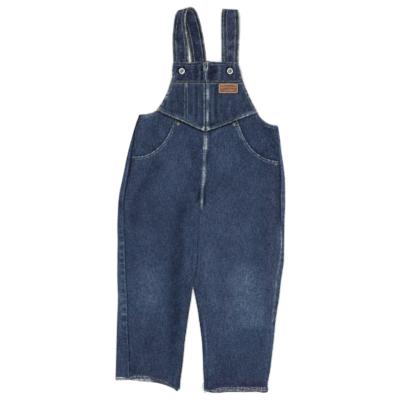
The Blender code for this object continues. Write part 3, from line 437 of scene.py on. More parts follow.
def strokes(table, x, y):
    """Sum of soft strokes, each with eased ends and a rounded section."""
    total = np.zeros(np.broadcast(x, y).shape)
    for x0, y0, x1, y1, half, amount in table:
        dx, dy = x1 - x0, y1 - y0
        t = ((x - x0) * dx + (y - y0) * dy) / (dx * dx + dy * dy)
        end = ease(-0.15, 0.25, t) * fall(0.75, 1.15, t)
        across = np.abs((x - x0) * dy - (y - y0) * dx) / math.hypot(dx, dy) / half
        total += amount * end * np.maximum(0.0, 1 - across * across / 4) ** 3
    return total


def rumple(x, y, size, seed):
    """Uneven surface between about -1 and 1 with humps of one size."""
    rng = random.Random(seed)
    total = 0.0
    for k in range(7):
        angle, scale = rng.uniform(0, math.pi), size * rng.uniform(0.7, 1.6)
        phase = rng.uniform(0, 6.28)
        bend = 0.8 * np.sin((x * math.sin(angle + 1) + y * math.cos(angle)) / scale / 2.3 + phase)
        total += np.sin(2 * math.pi * (x * math.cos(angle) + y * math.sin(angle)) / scale / 2 + bend)
    return total / 3.5


def ripple(run, pitch, seed):
    """Puckers along a seam: a wave whose length and height wander."""
    wander = 1.4 * np.sin(run / pitch / 0.83 + seed) + 0.9 * np.sin(run / pitch / 2.9 + 2 * seed)
    height = 0.65 + 0.35 * np.sin(run / pitch / 1.37 + 3 * seed)
    return height * np.sin(2 * math.pi * run / pitch + wander)


def inner_edge(side, y):
    """Middle seam above the crotch, fold of the inner leg below it."""
    return np.where(y > CROTCH, along(CENTRE, y), along(INNER_R if side < 0 else INNER_L, y))


def outer_edge(side, y):
    """Fold at the side; side is -1 for the wearer's right, 1 for the left."""
    return along(EDGE_R if side < 0 else EDGE_L, y)


def side_seam(side, y):
    """Seam between a leg's front and the cloth that comes round from the back."""
    return outer_edge(side, y) - side * along(WRAP_R if side < 0 else WRAP_L, y)


def pocket_lift(x, y):
    """Rise of the cloth that lies over a hip piece."""
    near = np.minimum(trace(POCKET_R, plan(x, y))[0], trace(POCKET_L, plan(x, y))[0])
    return LIFT * fall(22, 44, near)


def front_level(side, x, y):
    """Middle of the front cloth above the table, without what lies under it at the pockets."""
    from_side = np.abs(x - outer_edge(side, y))
    from_middle = np.abs(x - inner_edge(side, y))
    calm = ease(3, 22, from_side) * ease(9, 24, from_middle) * fall(60, 105, y)
    gap = np.clip(LAYER_GAP + calm * (0.5 + strokes(FOLDS, x, y)), 0.5, FULL_GAP)
    return CLOTH + gap + CLOTH / 2


def bib_under(x, y):
    """Underside of bib and band above the table."""
    over_strap = ease(20, 41, x) * fall(83, 99, x) * ease(212, 243, y)
    near = np.minimum(x - along(ARMHOLE_R, y), along(ARMHOLE_L, y) - x)
    droop = 1.5 * fall(0, 15, near) * ease(192, 206, y) * fall(228, 243, y)
    ridge = 0.7 * bell(x, 6, -9) * ease(150, 170, y) * fall(200, 235, y)
    ridge += 0.6 * bell(x, 7, 30) * ease(150, 165, y) * fall(195, 230, y)
    slack = ease(10, 16, np.abs(x - along(CENTRE, y)))
    return BIB_UNDER + 1.1 * over_strap + pocket_lift(x, y) - droop + ridge * slack


def zip_level(y):
    """Underside of the zip tape: just under the bib, then just under the legs' front."""
    low = CLOTH + LAYER_GAP - 0.3 - TAPE
    high = BIB_UNDER - 0.3 - TAPE
    return low + (high - low) * ease(160, 190, y)


def spread(length, fine=0.9, coarse=3.0, zone=12.0):
    """Shares 0 to 1 of a length in mm, closer together near the ends."""
    at = [0.0]
    while at[-1] < length:
        near = min(at[-1], length - at[-1])
        at.append(at[-1] + fine + (coarse - fine) * float(ease(zone * 0.6, zone * 2, near)))
    return np.array(at) / at[-1]


# --- materials ---
class Look:
    """A Principled material and short ways to add the nodes that feed it."""

    def __init__(self, name, rough, metal=0.0):
        self.mat = bpy.data.materials.new(name)
        self.mat.use_nodes = True
        self.tree = self.mat.node_tree
        self.shader = self.tree.nodes["Principled BSDF"]
        self.shader.inputs["Roughness"].default_value = rough
        self.shader.inputs["Metallic"].default_value = metal
        place = self.tree.nodes.new("ShaderNodeTexCoord").outputs["Object"]
        self.place = self.node("ShaderNodeVectorMath", {0: place, 1: (1000, 1000, 1000)},
                               operation="MULTIPLY").outputs[0]

    def node(self, kind, inputs, **settings):
        made = self.tree.nodes.new(kind)
        for key, value in settings.items():
            setattr(made, key, value)
        for key, value in inputs.items():
            self.feed(made.inputs[key], value)
        return made

    def feed(self, socket, value):
        if isinstance(value, bpy.types.NodeSocket):
            self.tree.links.new(value, socket)
        else:
            socket.default_value = value

    def math(self, operation, *values):
        return self.node("ShaderNodeMath", dict(enumerate(values)), operation=operation).outputs[0]

    def total(self, *values):
        result = values[0]
        for value in values[1:]:
            result = self.math("ADD", result, value)
        return result

    def gain(self, value, factor, middle=0.0):
        """factor * (value - middle)"""
        return self.math("MULTIPLY_ADD", value, factor, -factor * middle)

    def field(self, name):
        """A value kept at the mesh's points."""
        return self.node("ShaderNodeAttribute", {}, attribute_name=name).outputs["Fac"]

    def noise(self, size, detail=2.0, place=None, rough=0.5):
        """Noise with humps of (x, y, z) sizes in mm."""
        size = size if isinstance(size, tuple) else (size, size, size)
        scaled = self.node("ShaderNodeVectorMath", {0: place or self.place,
                           1: tuple(1 / s for s in size)}, operation="MULTIPLY").outputs[0]
        inputs = {"Vector": scaled, "Scale": 1.0, "Detail": detail, "Roughness": rough}
        return self.node("ShaderNodeTexNoise", inputs).outputs[0]

    def between(self, value, low, high, to_low=0.0, to_high=1.0):
        inputs = {0: value, 1: low, 2: high, 3: to_low, 4: to_high}
        return self.node("ShaderNodeMapRange", inputs, interpolation_type="SMOOTHSTEP").outputs[0]

    def ramp(self, value, *stops):
        made = self.node("ShaderNodeValToRGB", {"Fac": value})
        points = made.color_ramp.elements
        while len(points) < len(stops):
            points.new(0.5)
        for point, (position, colour) in zip(points, stops):
            point.position, point.color = position, (*colour, 1)
        return made.outputs["Color"]

    def mix(self, factor, a, b):
        made = self.node("ShaderNodeMix", {"Factor": factor}, data_type="RGBA")
        self.feed(made.inputs[6], a if isinstance(a, bpy.types.NodeSocket) else (*a, 1))
        self.feed(made.inputs[7], b if isinstance(b, bpy.types.NodeSocket) else (*b, 1))
        return made.outputs[2]

    def colour(self, value):
        self.feed(self.shader.inputs["Base Color"], value)

    def roughness(self, value):
        self.feed(self.shader.inputs["Roughness"], value)

    def bump(self, height, depth):
        """Relief from a height of 0 to 1, its depth in mm."""
        made = self.node("ShaderNodeBump", {"Height": height, "Strength": 1.0, "Distance": depth / 1000})
        self.feed(self.shader.inputs["Normal"], made.outputs[0])


def denim(name, base, speckle, mottle, wear_gain, tint=(1.0, 1.0, 1.0), rim_tint=(1.0, 1.0, 1.0)):
    """Washed indigo twill. Fields: seam, run, wear, warm, inside, and one tone field that holds worn fades
    and painted shade.
    """
    look = Look(name, 0.85)
    seam, run, wear = look.field("seam"), look.field("run"), look.field("wear")
    along_seam = look.node("ShaderNodeCombineXYZ", {0: run, 1: seam, 2: 0.0}).outputs[0]
    slub = look.noise((1.3, 14, 6), 2)
    weft = look.noise((8, 1.1, 6), 1)
    fleck = look.noise(1.5, 2, rough=0.65)
    salt = look.between(look.noise((2.4, 3.4, 2.6), 1), 0.30, 0.70, -speckle, speckle)
    cloud = look.noise((13, 21, 15), 3)
    wash = look.noise((70, 120, 90), 2)
    ladder = look.noise((2.6, 9, 1), 2, along_seam)
    near = look.between(seam, 1.0, 9.0, 1.0, 0.0)
    rim = look.between(seam, 0.4, 2.4, 1.0, 0.0)
    worn = look.math("MULTIPLY", look.math("MULTIPLY", near, wear),
                     look.between(ladder, 0.36, 0.66, -0.10, wear_gain))
    edge = look.math("MULTIPLY", look.math("MULTIPLY", rim, wear),
                     look.between(fleck, 0.35, 0.6, 0.08, 0.34))
    grain = look.total(look.gain(slub, 0.44, 0.5), look.gain(weft, 0.16, 0.5),
                       look.gain(fleck, 0.42, 0.5), salt)
    grain = look.math("MULTIPLY", grain, look.between(look.field("fade_and_shade"), 0.10, 0.36, 1.0, 0.66))
    tone = look.total(grain, look.gain(cloud, mottle, 0.5), look.gain(wash, 0.22, 0.5), worn, edge,
                      look.field("fade_and_shade"), base)
    cloth = look.ramp(tone, (0.0, (0.001, 0.003, 0.008)), (0.30, (0.008, 0.015, 0.034)),
                      (0.50, (0.021, 0.036, 0.073)), (0.72, (0.049, 0.081, 0.139)),
                      (0.86, (0.106, 0.153, 0.208)), (1.0, (0.34, 0.39, 0.42)))
    hue = look.ramp(look.total(look.gain(look.noise((26, 40, 30), 2), 1.0),
                               look.gain(look.noise(6, 1), 0.3, 0.5)),
                    (0.3, tuple(a * b for a, b in zip(tint, (0.98, 1.005, 0.998)))),
                    (0.7, tuple(a * b for a, b in zip(tint, (1.165, 0.98, 1.038)))))
    red = look.math("MULTIPLY_ADD", look.field("warm"), 0.13, 1.0)
    warm = look.node("ShaderNodeCombineXYZ", {0: red, 1: 1.0, 2: 1.0}).outputs[0]
    side = look.mix(look.between(seam, 5.5, 9.5), rim_tint, (1.0, 1.0, 1.0))
    light = look.mix(look.between(look.total(worn, edge), 0.03, 0.16), (0.985, 1.0, 1.0), (1.12, 1.0, 0.93))
    hue = look.mix(look.between(tone, 0.70, 0.90), hue, light)
    for factor in (hue, warm, side):
        cloth = look.node("ShaderNodeVectorMath", {0: cloth, 1: factor}, operation="MULTIPLY").outputs[0]
    speck = look.gain(look.noise(2.2, 2, rough=0.6), 2.6, 0.5)
    back = look.ramp(look.total(speck, look.gain(weft, 0.5, 0.5), look.gain(look.field("fade_and_shade"), 1.2), 0.5),
                     (0.0, (0.02, 0.024, 0.04)), (0.5, (0.085, 0.092, 0.125)), (0.8, (0.24, 0.25, 0.30)),
                     (1.0, (0.5, 0.51, 0.56)))
    look.colour(look.mix(look.between(look.field("inside"), 0.45, 0.75), cloth, back))
    diagonal = look.node("ShaderNodeVectorMath", {0: look.place, 1: (1.0, 0.62, 0.5)},
                         operation="DOT_PRODUCT")
    twill = look.math("SINE", look.math("MULTIPLY", diagonal.outputs["Value"], 2 * math.pi / 1.1))
    look.bump(look.total(look.gain(twill, 0.16), look.gain(slub, 0.5), look.gain(fleck, 0.8)), 0.35)
    look.shader.inputs["Specular IOR Level"].default_value = 0.12
    return look.mat


def thread(name, dark, light):
    """Thread or yarn in two shades."""
    look = Look(name, 0.6)
    tint = look.noise(6.0, 2)
    ply = look.noise((0.5, 0.5, 0.5), 1)
    look.colour(look.mix(look.between(look.total(tint, look.gain(ply, 0.4, 0.5)), 0.36, 0.66), dark, light))
    look.bump(ply, 0.1)
    return look.mat


def plated(name, dark, light, rough, size=2.5, metal=1.0):
    """Metal with patches of tarnish and fine scratches."""
    look = Look(name, rough, metal)
    patch, scratch = look.noise(size, 3), look.noise((0.25, 3, 1), 2)
    look.colour(look.mix(look.between(patch, 0.35, 0.62), dark, light))
    look.roughness(look.between(patch, 0.3, 0.7, rough + 0.14, rough - 0.05))
    look.bump(scratch, 0.03)
    return look.mat


def hide(name):
    """Leather with scuffs, a lighter worn rim and a grain."""
    look = Look(name, 0.6)
    patch, grain, seam = look.noise((14, 2.4, 4), 3), look.noise(0.8, 3), look.field("seam")
    tone = look.total(look.gain(patch, 3.2, 0.5), look.gain(grain, 0.9, 0.5), 0.45)
    inner = look.ramp(tone, (0.0, (0.075, 0.024, 0.011)), (0.45, (0.185, 0.068, 0.027)),
                      (1.0, (0.36, 0.17, 0.085)))
    rim = look.mix(look.between(seam, 1.0, 2.0), (0.36, 0.25, 0.165), (0.085, 0.035, 0.018))
    look.colour(look.mix(look.between(seam, 2.2, 3.2), rim, inner))
    look.bump(look.total(look.gain(grain, 0.8), look.gain(patch, 0.5)), 0.25)
    look.roughness(look.between(grain, 0.3, 0.7, 0.7, 0.5))
    return look.mat


def woven(name, dark, light):
    """Zip tape: a fine herringbone."""
    look = Look(name, 0.8)
    across = look.node("ShaderNodeSeparateXYZ", {0: look.place}).outputs
    zigzag = look.math("PINGPONG", across[0], 1.2)
    ribs = look.math("SINE", look.math("MULTIPLY", look.math("ADD", across[1], zigzag), 2 * math.pi / 0.9))
    look.colour(look.mix(look.between(look.total(ribs, look.noise(3.0)), 0.0, 1.4), dark, light))
    look.bump(look.gain(ribs, 0.5), 0.15)
    return look.mat


# --- meshes ---
def new_object(name, data):
    obj = bpy.data.objects.new(name, data)
    bpy.context.scene.collection.objects.link(obj)
    return obj


def add_mesh(name, points, faces, mat, fields=None, smooth=True):
    """A named object from points in mm, turned so that its faces look out."""
    points = np.asarray(points, float) - (MIDDLE_X, MIDDLE_Y, 0)
    mesh = bpy.data.meshes.new(name)
    mesh.from_pydata((points / 1000).tolist(), [], faces)
    bm = bmesh.new()
    bm.from_mesh(mesh)
    if bm.calc_volume(signed=True) < 0:
        bmesh.ops.reverse_faces(bm, faces=bm.faces)
    bm.to_mesh(mesh)
    bm.free()
    for key, values in (fields or {}).items():
        kept = mesh.attributes.new(key, "FLOAT", "POINT")
        kept.data.foreach_set("value", np.asarray(values, np.float32))
    mesh.polygons.foreach_set("use_smooth", [smooth] * len(mesh.polygons))
    mesh.materials.append(mat)
    return new_object(name, mesh)


def settle(obj, node=None, body="garment"):
    """Puts a piece on its body and in the place of its CAD node."""
    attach(obj, body)
    if node:
        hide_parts(node)
    return obj


def run_along(points):
    """Run from the first point of a path to each of its points."""
    return np.concatenate([[0], np.cumsum(np.linalg.norm(np.diff(points, axis=0), axis=1))])


def unit(v):
    """The vectors at length 1."""
    return v / np.maximum(np.linalg.norm(v, axis=-1, keepdims=True), 1e-9)


def facing(grid, up):
    """Normals of a grid of points; the first row's look up (1) or down (-1)."""
    across = unit(np.cross(np.gradient(grid, axis=1), np.gradient(grid, axis=0)))
    return across * (up if across[0, :, 2].mean() > 0 else -up)


class Cloth:
    """A grid (rows, columns, 3) along the middle of a cloth, with its outer face's normals."""

    def __init__(self, grid, thick, up=1):
        self.grid, self.thick, self.up = np.asarray(grid, float), thick, up
        self.out = facing(self.grid, up)
        self.fields = {}

    def worn(self, *edges):
        """Fields for the seams: distance to the nearest of the (path, wear) edges, and its run."""
        shape = self.grid.shape[:2]
        seam, run, wear = np.full(shape, 1e3), np.zeros(shape), np.zeros(shape)
        for path, strength in edges:
            away, way = trace(path, self.grid)
            near = away < seam
            seam[near], run[near], wear[near] = away[near], way[near], strength
        self.fields.update(seam=seam, run=run, wear=wear)

    def raise_by(self, height):
        self.grid = self.grid + self.out * np.asarray(height)[..., None]
        self.out = facing(self.grid, self.up)

    def edge(self, where, step=1):
        grid = self.grid
        sides = {"top": grid[0], "bottom": grid[-1], "left": grid[:, 0], "right": grid[:, -1]}
        return sides[where][::step]

    def away_from(self, where, step):
        """Distance to a side, and the run along it."""
        return trace(self.edge(where, step), self.grid)

    def worn_sides(self, step, *edges, **sides):
        """The same for whole sides, each with its wear."""
        self.worn(*((self.edge(where, step), wear) for where, wear in sides.items()), *edges)

    def inset(self, where, gap, face=1, keep=None):
        """Points and normals on a face, along a line a gap in from an edge."""
        grid, out = self.grid, self.out * face
        if where in ("top", "bottom"):
            grid, out = grid.swapaxes(0, 1), out.swapaxes(0, 1)
        if where in ("right", "bottom"):
            grid, out = grid[:, ::-1], out[:, ::-1]
        run = np.cumsum(np.linalg.norm(np.diff(grid, axis=1, prepend=grid[:, :1]), axis=2), axis=1)
        slant = np.linalg.norm(np.cross(unit(np.gradient(grid[:, 0], axis=0)),
                                        unit(grid[:, 3] - grid[:, 0])), axis=1)
        points, normals = [], []
        for r in range(len(grid)):
            at = np.interp(gap / max(slant[r], 0.3), run[r], np.arange(grid.shape[1]))
            i = min(int(at), grid.shape[1] - 2)
            n = out[r, i] + (out[r, i + 1] - out[r, i]) * (at - i)
            points.append(grid[r, i] + (grid[r, i + 1] - grid[r, i]) * (at - i) + n * self.thick / 2)
            normals.append(n)
        points, normals = np.array(points), np.array(normals)
        kept = np.array([keep is None or keep(*p) for p in points])
        return points[kept], normals[kept]

    def on(self, path, face=1):
        """Points and normals on a face, above or below a path of (x, y) points."""
        path = np.asarray(path, float)
        steps = [np.linspace(a, b, max(2, int(np.linalg.norm(b - a) / 2)))
                 for a, b in zip(path[:-1], path[1:])]
        flat, out = self.grid.reshape(-1, 3), self.out.reshape(-1, 3) * face
        points, normals = [], []
        for p in np.vstack(steps):
            away = np.linalg.norm(flat[:, :2] - p, axis=1)
            close = np.argsort(away)[:4]
            share = 1 / (away[close] + 0.05)
            share /= share.sum()
            n = share @ out[close]
            points.append((*p, share @ flat[close, 2] + n[2] * self.thick / 2))
            normals.append(n)
        return np.array(points), np.array(normals)

    def piece(self, name, mat, slot, held="laid", rests_on=()):
        """The closed shell with a rounded rim, in the place of its CAD node."""

        def inward(step):
            length = np.linalg.norm(step, axis=-1, keepdims=True)
            return unit(step) * np.minimum(length, self.thick) * 0.4

        grid, rows, columns = self.grid, *self.grid.shape[:2]
        n = rows * columns
        pull = np.zeros_like(grid)
        for edge, inner in ((0, 1), (-1, -2)):
            pull[edge] += inward(grid[inner] - grid[edge])
            pull[:, edge] += inward(grid[:, inner] - grid[:, edge])
        face = self.out * self.thick / 2
        rim = list(range(columns))
        rim += [(r + 1) * columns - 1 for r in range(1, rows)]
        rim += [(rows - 1) * columns + c for c in range(columns - 2, -1, -1)]
        rim += [r * columns for r in range(rows - 2, 0, -1)]
        points = np.vstack([(grid + pull + face).reshape(-1, 3), (grid + pull - face).reshape(-1, 3),
                            grid.reshape(-1, 3)[rim]])
        a = (np.arange(rows - 1)[:, None] * columns + np.arange(columns - 1)).ravel()
        b = a + columns
        faces = np.stack([a, b, b + 1, a + 1], 1).tolist()
        faces += np.stack([n + a, n + a + 1, n + b + 1, n + b], 1).tolist()
        ring = 2 * n + np.arange(len(rim))
        for k, (p, q) in enumerate(zip(rim, rim[1:] + rim[:1])):
            k2 = (k + 1) % len(rim)
            faces.append([p, q, int(ring[k2]), int(ring[k])])
            faces.append([int(ring[k]), int(ring[k2]), n + q, n + p])
        fields = {"seam": 50.0, "run": 0.0, "wear": 0.0, "fade_and_shade": 0.0, "warm": 0.0, **self.fields}
        kept = {}
        for key, values in fields.items():
            values = np.broadcast_to(values, (rows, columns)).ravel()
            kept[key] = np.concatenate([values, values, values[rim]])
        wrong_side = 0.0 if self.thick == DOUBLE else 1.0
        kept["inside"] = np.concatenate([np.zeros(n), np.full(n, wrong_side), np.full(len(rim), 0.3)])
        obj = settle(add_mesh(name, points, faces, mat, kept), name[:-5])
        return obj


class Heap:
    """Many small closed shapes gathered into one mesh."""

    def __init__(self):
        self.points, self.faces, self.count = [], [], 0

    def add(self, points, faces):
        self.points.append(np.asarray(points, float))
        self.faces += [[i + self.count for i in f] for f in faces]
        self.count += len(points)

    def piece(self, name, mat, node=None, slot=None, smooth=True):
        obj = add_mesh(name, np.vstack(self.points), self.faces, mat, smooth=smooth)
        return settle(obj, node)


def single(name, shape, mat, node=None, slot=None):
    """One closed shape as a piece."""
    heap = Heap()
    heap.add(*shape)
    return heap.piece(name, mat, node, slot)


def prism(outline, z0, z1):
    """Points and faces of an upright prism on a plan outline of (x, y) points."""
    n = len(outline)
    points = [(x, y, z0) for x, y in outline] + [(x, y, z1) for x, y in outline]
    faces = [tuple(range(n))[::-1], tuple(range(n, 2 * n))]
    faces += [(k, (k + 1) % n, n + (k + 1) % n, n + k) for k in range(n)]
    return points, faces


def turned(profile, centre, steps=48):
    """Points and faces of a solid of revolution from (radius, z) rows that end on the axis."""
    points, rings, faces = [], [], []
    for radius, z in profile:
        if radius < 1e-6:
            rings.append([len(points)])
            points.append((centre[0], centre[1], centre[2] + z))
            continue
        rings.append(list(range(len(points), len(points) + steps)))
        for k in range(steps):
            a = 2 * math.pi * k / steps
            points.append((centre[0] + radius * math.cos(a), centre[1] + radius * math.sin(a),
                           centre[2] + z))
    for low, high in zip(rings[:-1], rings[1:]):
        for k in range(steps):
            m = (k + 1) % steps
            if len(low) == 1:
                faces.append((low[0], high[m], high[k]))
            elif len(high) == 1:
                faces.append((low[k], low[m], high[0]))
            else:
                faces.append((low[k], low[m], high[m], high[k]))
    return points, faces


def tube(points, radii, sides=6):
    """Points and faces of a closed tube along a path, with a radius at each point."""
    points = np.asarray(points, float)
    ahead = unit(np.gradient(points, axis=0))
    aside = unit(np.cross(ahead, (0.13, 0.21, 0.97)))
    above = np.cross(aside, ahead)
    angle = 2 * math.pi * np.arange(sides) / sides
    ring = np.cos(angle)[:, None, None] * aside + np.sin(angle)[:, None, None] * above
    rings = (points + ring * np.asarray(radii, float)[:, None]).swapaxes(0, 1).reshape(-1, 3)
    last = (len(points) - 1) * sides
    faces = [list(range(sides))[::-1], list(range(last, last + sides))]
    for r in range(len(points) - 1):
        for k in range(sides):
            m = (k + 1) % sides
            faces.append([r * sides + k, r * sides + m, (r + 1) * sides + m, (r + 1) * sides + k])
    return rings, faces


# --- sewing ---
def sew(heap, line_and_normals, pitch=THREAD_PITCH, length=THREAD_LENGTH, radius=THREAD_R, sink=0.1):
    """A row of stitches: each a short thread that dips into the cloth at its ends."""
    points, normals = line_and_normals
    if len(points) < 2:
        return
    run = run_along(points)

    def at(q):
        return np.array([np.interp(q, run, points[:, c]) for c in range(3)])

    def normal(q):
        return unit(np.array([np.interp(q, run, normals[:, c]) for c in range(3)]))

    low, top = -sink - radius * 0.4, radius * 0.35
    for q in np.arange(pitch * 0.6, run[-1] - pitch * 0.5, pitch):
        rings = []
        for shift, high, wide in ((-0.5, low, 0.55), (-0.28, top, 1), (0.28, top, 1), (0.5, low, 0.55)):
            n = normal(q + shift * length)
            ahead = unit(at(q + 0.5) - at(q - 0.5))
            aside = np.cross(ahead, n)
            c = at(q + shift * length) + n * high
            for a, b in ((1, 0), (0, 1), (-1, 0), (0, -1)):
                rings.append(c + (aside * a + n * b) * radius * wide)
        faces = [[3, 2, 1, 0], [12, 13, 14, 15]]
        faces += [[4 * r + k, 4 * r + (k + 1) % 4, 4 * r + 4 + (k + 1) % 4, 4 * r + 4 + k]
                  for r in range(3) for k in range(4)]
        heap.add(rings, faces)


def bartack(heap, centre, wide, tall, level, lines=7):
    """A block of close crosswise stitches."""
    for k in range(lines):
        y = centre[1] + tall * (k / (lines - 1) - 0.5)
        x = np.linspace(centre[0] - wide / 2, centre[0] + wide / 2, 5)
        z = level + np.array([-0.3, 0.25, 0.35, 0.25, -0.3])
        heap.add(*tube(np.stack([x, y + 0.25 * np.sin(x * 3 + k), z], 1), [0.3, 0.36, 0.38, 0.36, 0.3]))


# --- legs ---
def turn(y):
    """How far the inner edge is turned round: none above the crotch, a quarter below."""
    return fall(-196, -178, y)


def curl_points(y, share):
    """Run and drop of the cloth's middle along the quarter turn, with its whole reach."""
    length = FOLD_RADIUS * (math.pi / 2 - 0.32)
    bend = np.maximum(turn(y), 1e-4)
    angle, last = bend * share * length / FOLD_RADIUS, bend * length / FOLD_RADIUS
    run, drop = FOLD_RADIUS / bend * np.sin(angle), FOLD_RADIUS / bend * (1 - np.cos(angle))
    reach = FOLD_RADIUS / bend * np.sin(last) + CLOTH / 2 * np.sin(last)
    return run, drop, reach


def leg_levels(top, hem):
    """Levels down a leg in each column, closer together at its top and its hem."""
    upper = (np.arange(46) / 46) ** 1.35
    middle = np.linspace(60, -360, 141)
    lower = 1 - (1 - np.arange(1, 17) / 16) ** 1.5
    top, hem = np.atleast_1d(top), np.atleast_1d(hem)
    return np.vstack([top + (60 - top) * upper[:, None], np.broadcast_to(middle[:, None], (141, len(top))),
                      -360 + (hem + 360) * lower[:, None]])


def front_edge(side, y):
    """Inner edge of a leg's front: beside the zip, at the middle seam, or at the fold."""
    gap = SEAM + (0.7 if side < 0 else 0.3) * ease(92, 112, y) + 0.1 * ease(-34, -20, y)
    upper = along(CENTRE, y) + side * (gap + (ZIP_HALF - gap) * ease(131, 142, y))
    return np.where(y > CROTCH, upper, inner_edge(side, y))


def fly(x, y):
    """Rise of the legs' edges over the chain."""
    away = np.abs(x - along(CENTRE, y))
    return 2.3 * fall(2.8, 7.5, away) * fall(132, 141, y) * ease(-30, -12, y)


def front_leg(side):
    """Front of a leg from pocket and bib foot down, turned in at the inner fold."""
    pocket, hem_table = (POCKET_R, HEM_FRONT_R) if side < 0 else (POCKET_L, HEM_FRONT_L)
    corner = pocket[-1][0]

    def foot(y):
        return front_edge(side, y) + side * curl_points(y, 1)[2]

    def place(share, y):
        seam = side_seam(side, y) - side * SEAM
        return seam + (foot(y) - seam) * share

    shares = spread(150)
    top = np.full(len(shares), 80.0)
    for _ in range(40):
        x = place(shares, top)
        goal = np.where((x - corner) * side > 0, along(pocket, x), along(BIB_FOOT, x) + 10)
        top = 0.5 * top + 0.5 * goal
    y = leg_levels(top, along(hem_table, place(shares, np.full(len(shares), -385.0))))
    x = place(shares[None, :], y)
    z = front_level(side, x, y) + pocket_lift(x, y)
    last = y[:, -1]
    for share in np.linspace(0.17, 1, 6):
        run, drop, _ = curl_points(last, share)
        level = front_level(side, foot(last), last) + pocket_lift(foot(last), last)
        x = np.column_stack([x, foot(last) - side * run])
        y = np.column_stack([y, last])
        z = np.column_stack([z, level - drop])
    cloth = Cloth(np.stack([x, y, z + fly(x, y)], -1), CLOTH)
    seen = [p for p in cloth.edge("top") if (p[0] - corner) * side > 0]
    centre = [p for p in cloth.edge("right") if p[1] > -14]
    edges = [(seen[::2], 0.75 if side < 0 else 0.85), (cloth.edge("left", 3), 0.12), (centre[::3], 0.4),
             (cloth.edge("bottom", 3), 0.2)]
    if side > 0:
        edges.append((INNER_SEAM_L, 0.1))
    cloth.worn(*edges)
    to_pocket, pocket_run = trace(seen[::2], cloth.grid)
    to_side, side_run = cloth.away_from("left", 3)
    flat = ease(0, 1.5, to_side) * (1 - 0.8 * ease(96, 120, y))
    height = strokes(CREASES, x, y) + 0.16 * rumple(x, y, 26, 3) + 0.07 * rumple(x, y, 9, 5)
    height += 0.30 * fall(6.5, 8.5, to_pocket) + 0.13 * ripple(pocket_run, 9, 1) * bell(to_pocket, 8)
    height += 0.16 * ripple(side_run, 11, 2 + side) * bell(to_side, 7) - 0.3 * bell(to_side, 1.8)
    hem_gap, hem_run = cloth.away_from("bottom", 3)
    height += 0.4 * ripple(hem_run, 23, 4 + side) * bell(hem_gap, 9)
    if side > 0:
        away, way = trace(INNER_SEAM_L, cloth.grid)
        height += 0.5 * bell(away, 3.2) * (1 + 0.5 * ripple(way, 8, 6))
    folded = np.ones(x.shape)
    folded[:, -6:] = 0.25
    cloth.raise_by(height * flat * folded)
    # painted shadow of the bib's foot on the leg, just below its edge
    below = trace(BIB_FOOT, cloth.grid)[0] * (y < along(BIB_FOOT, x))
    tone = strokes(FADES_AND_SHADE, x, y) - 0.42 * fall(1.5, 6.5, below) * (below > 0)
    low = fall(-26, -14, y)
    tone -= (0.06 + 0.08 * fall(-100, -78, y)) * bell(x, 1.7, inner_edge(side, y)) * low
    hem_light = 0.42 if side > 0 else 0.55 - 0.35 * ease(-116, -104, x)
    tone += hem_light * fall(0.7, 2.2, hem_gap) * (0.55 + 0.6 * ripple(hem_run, 7, 3 + side))
    if side < 0:
        # painted shadow of the raised seam, on the leg right beside the side seam
        tone -= (0.08 + 0.22 * ease(-10, 20, y)) * fall(0.5, 3, to_side) * fall(100, 130, y)
        tone += (0.06 * bell(to_side, 3, 10) - 0.05 * fall(2, 6, to_side)) * ease(50, 64, y)
    else:
        tone -= 0.12 * fall(1.5, 4, to_side) * ease(-56, -44, y) * fall(80, 120, y)
        tone += (0.2 * ease(-276, -258, y) - 0.06) * fall(1.2, 3.5, to_side) * fall(-60, -50, y)
        tone += along(FRONT_TONE, y) * fall(9, 13, to_side)
        tone += along(CLOSE_TONE, y) * bell(to_side, 2.2)
        rim = np.abs(x - inner_edge(side, y))
        tone -= 0.07 * fall(3, 7, rim) * fall(-190, -180, y) * ease(-340, -300, y)
        tone += along(INNER_TONE, y) * (1 + 0.4 * ripple(way, 8, 6)) * bell(away, 1.5)
    cloth.fields["fade_and_shade"] = tone
    cloth.fields["warm"] = strokes(WARM, x, y)
    return cloth


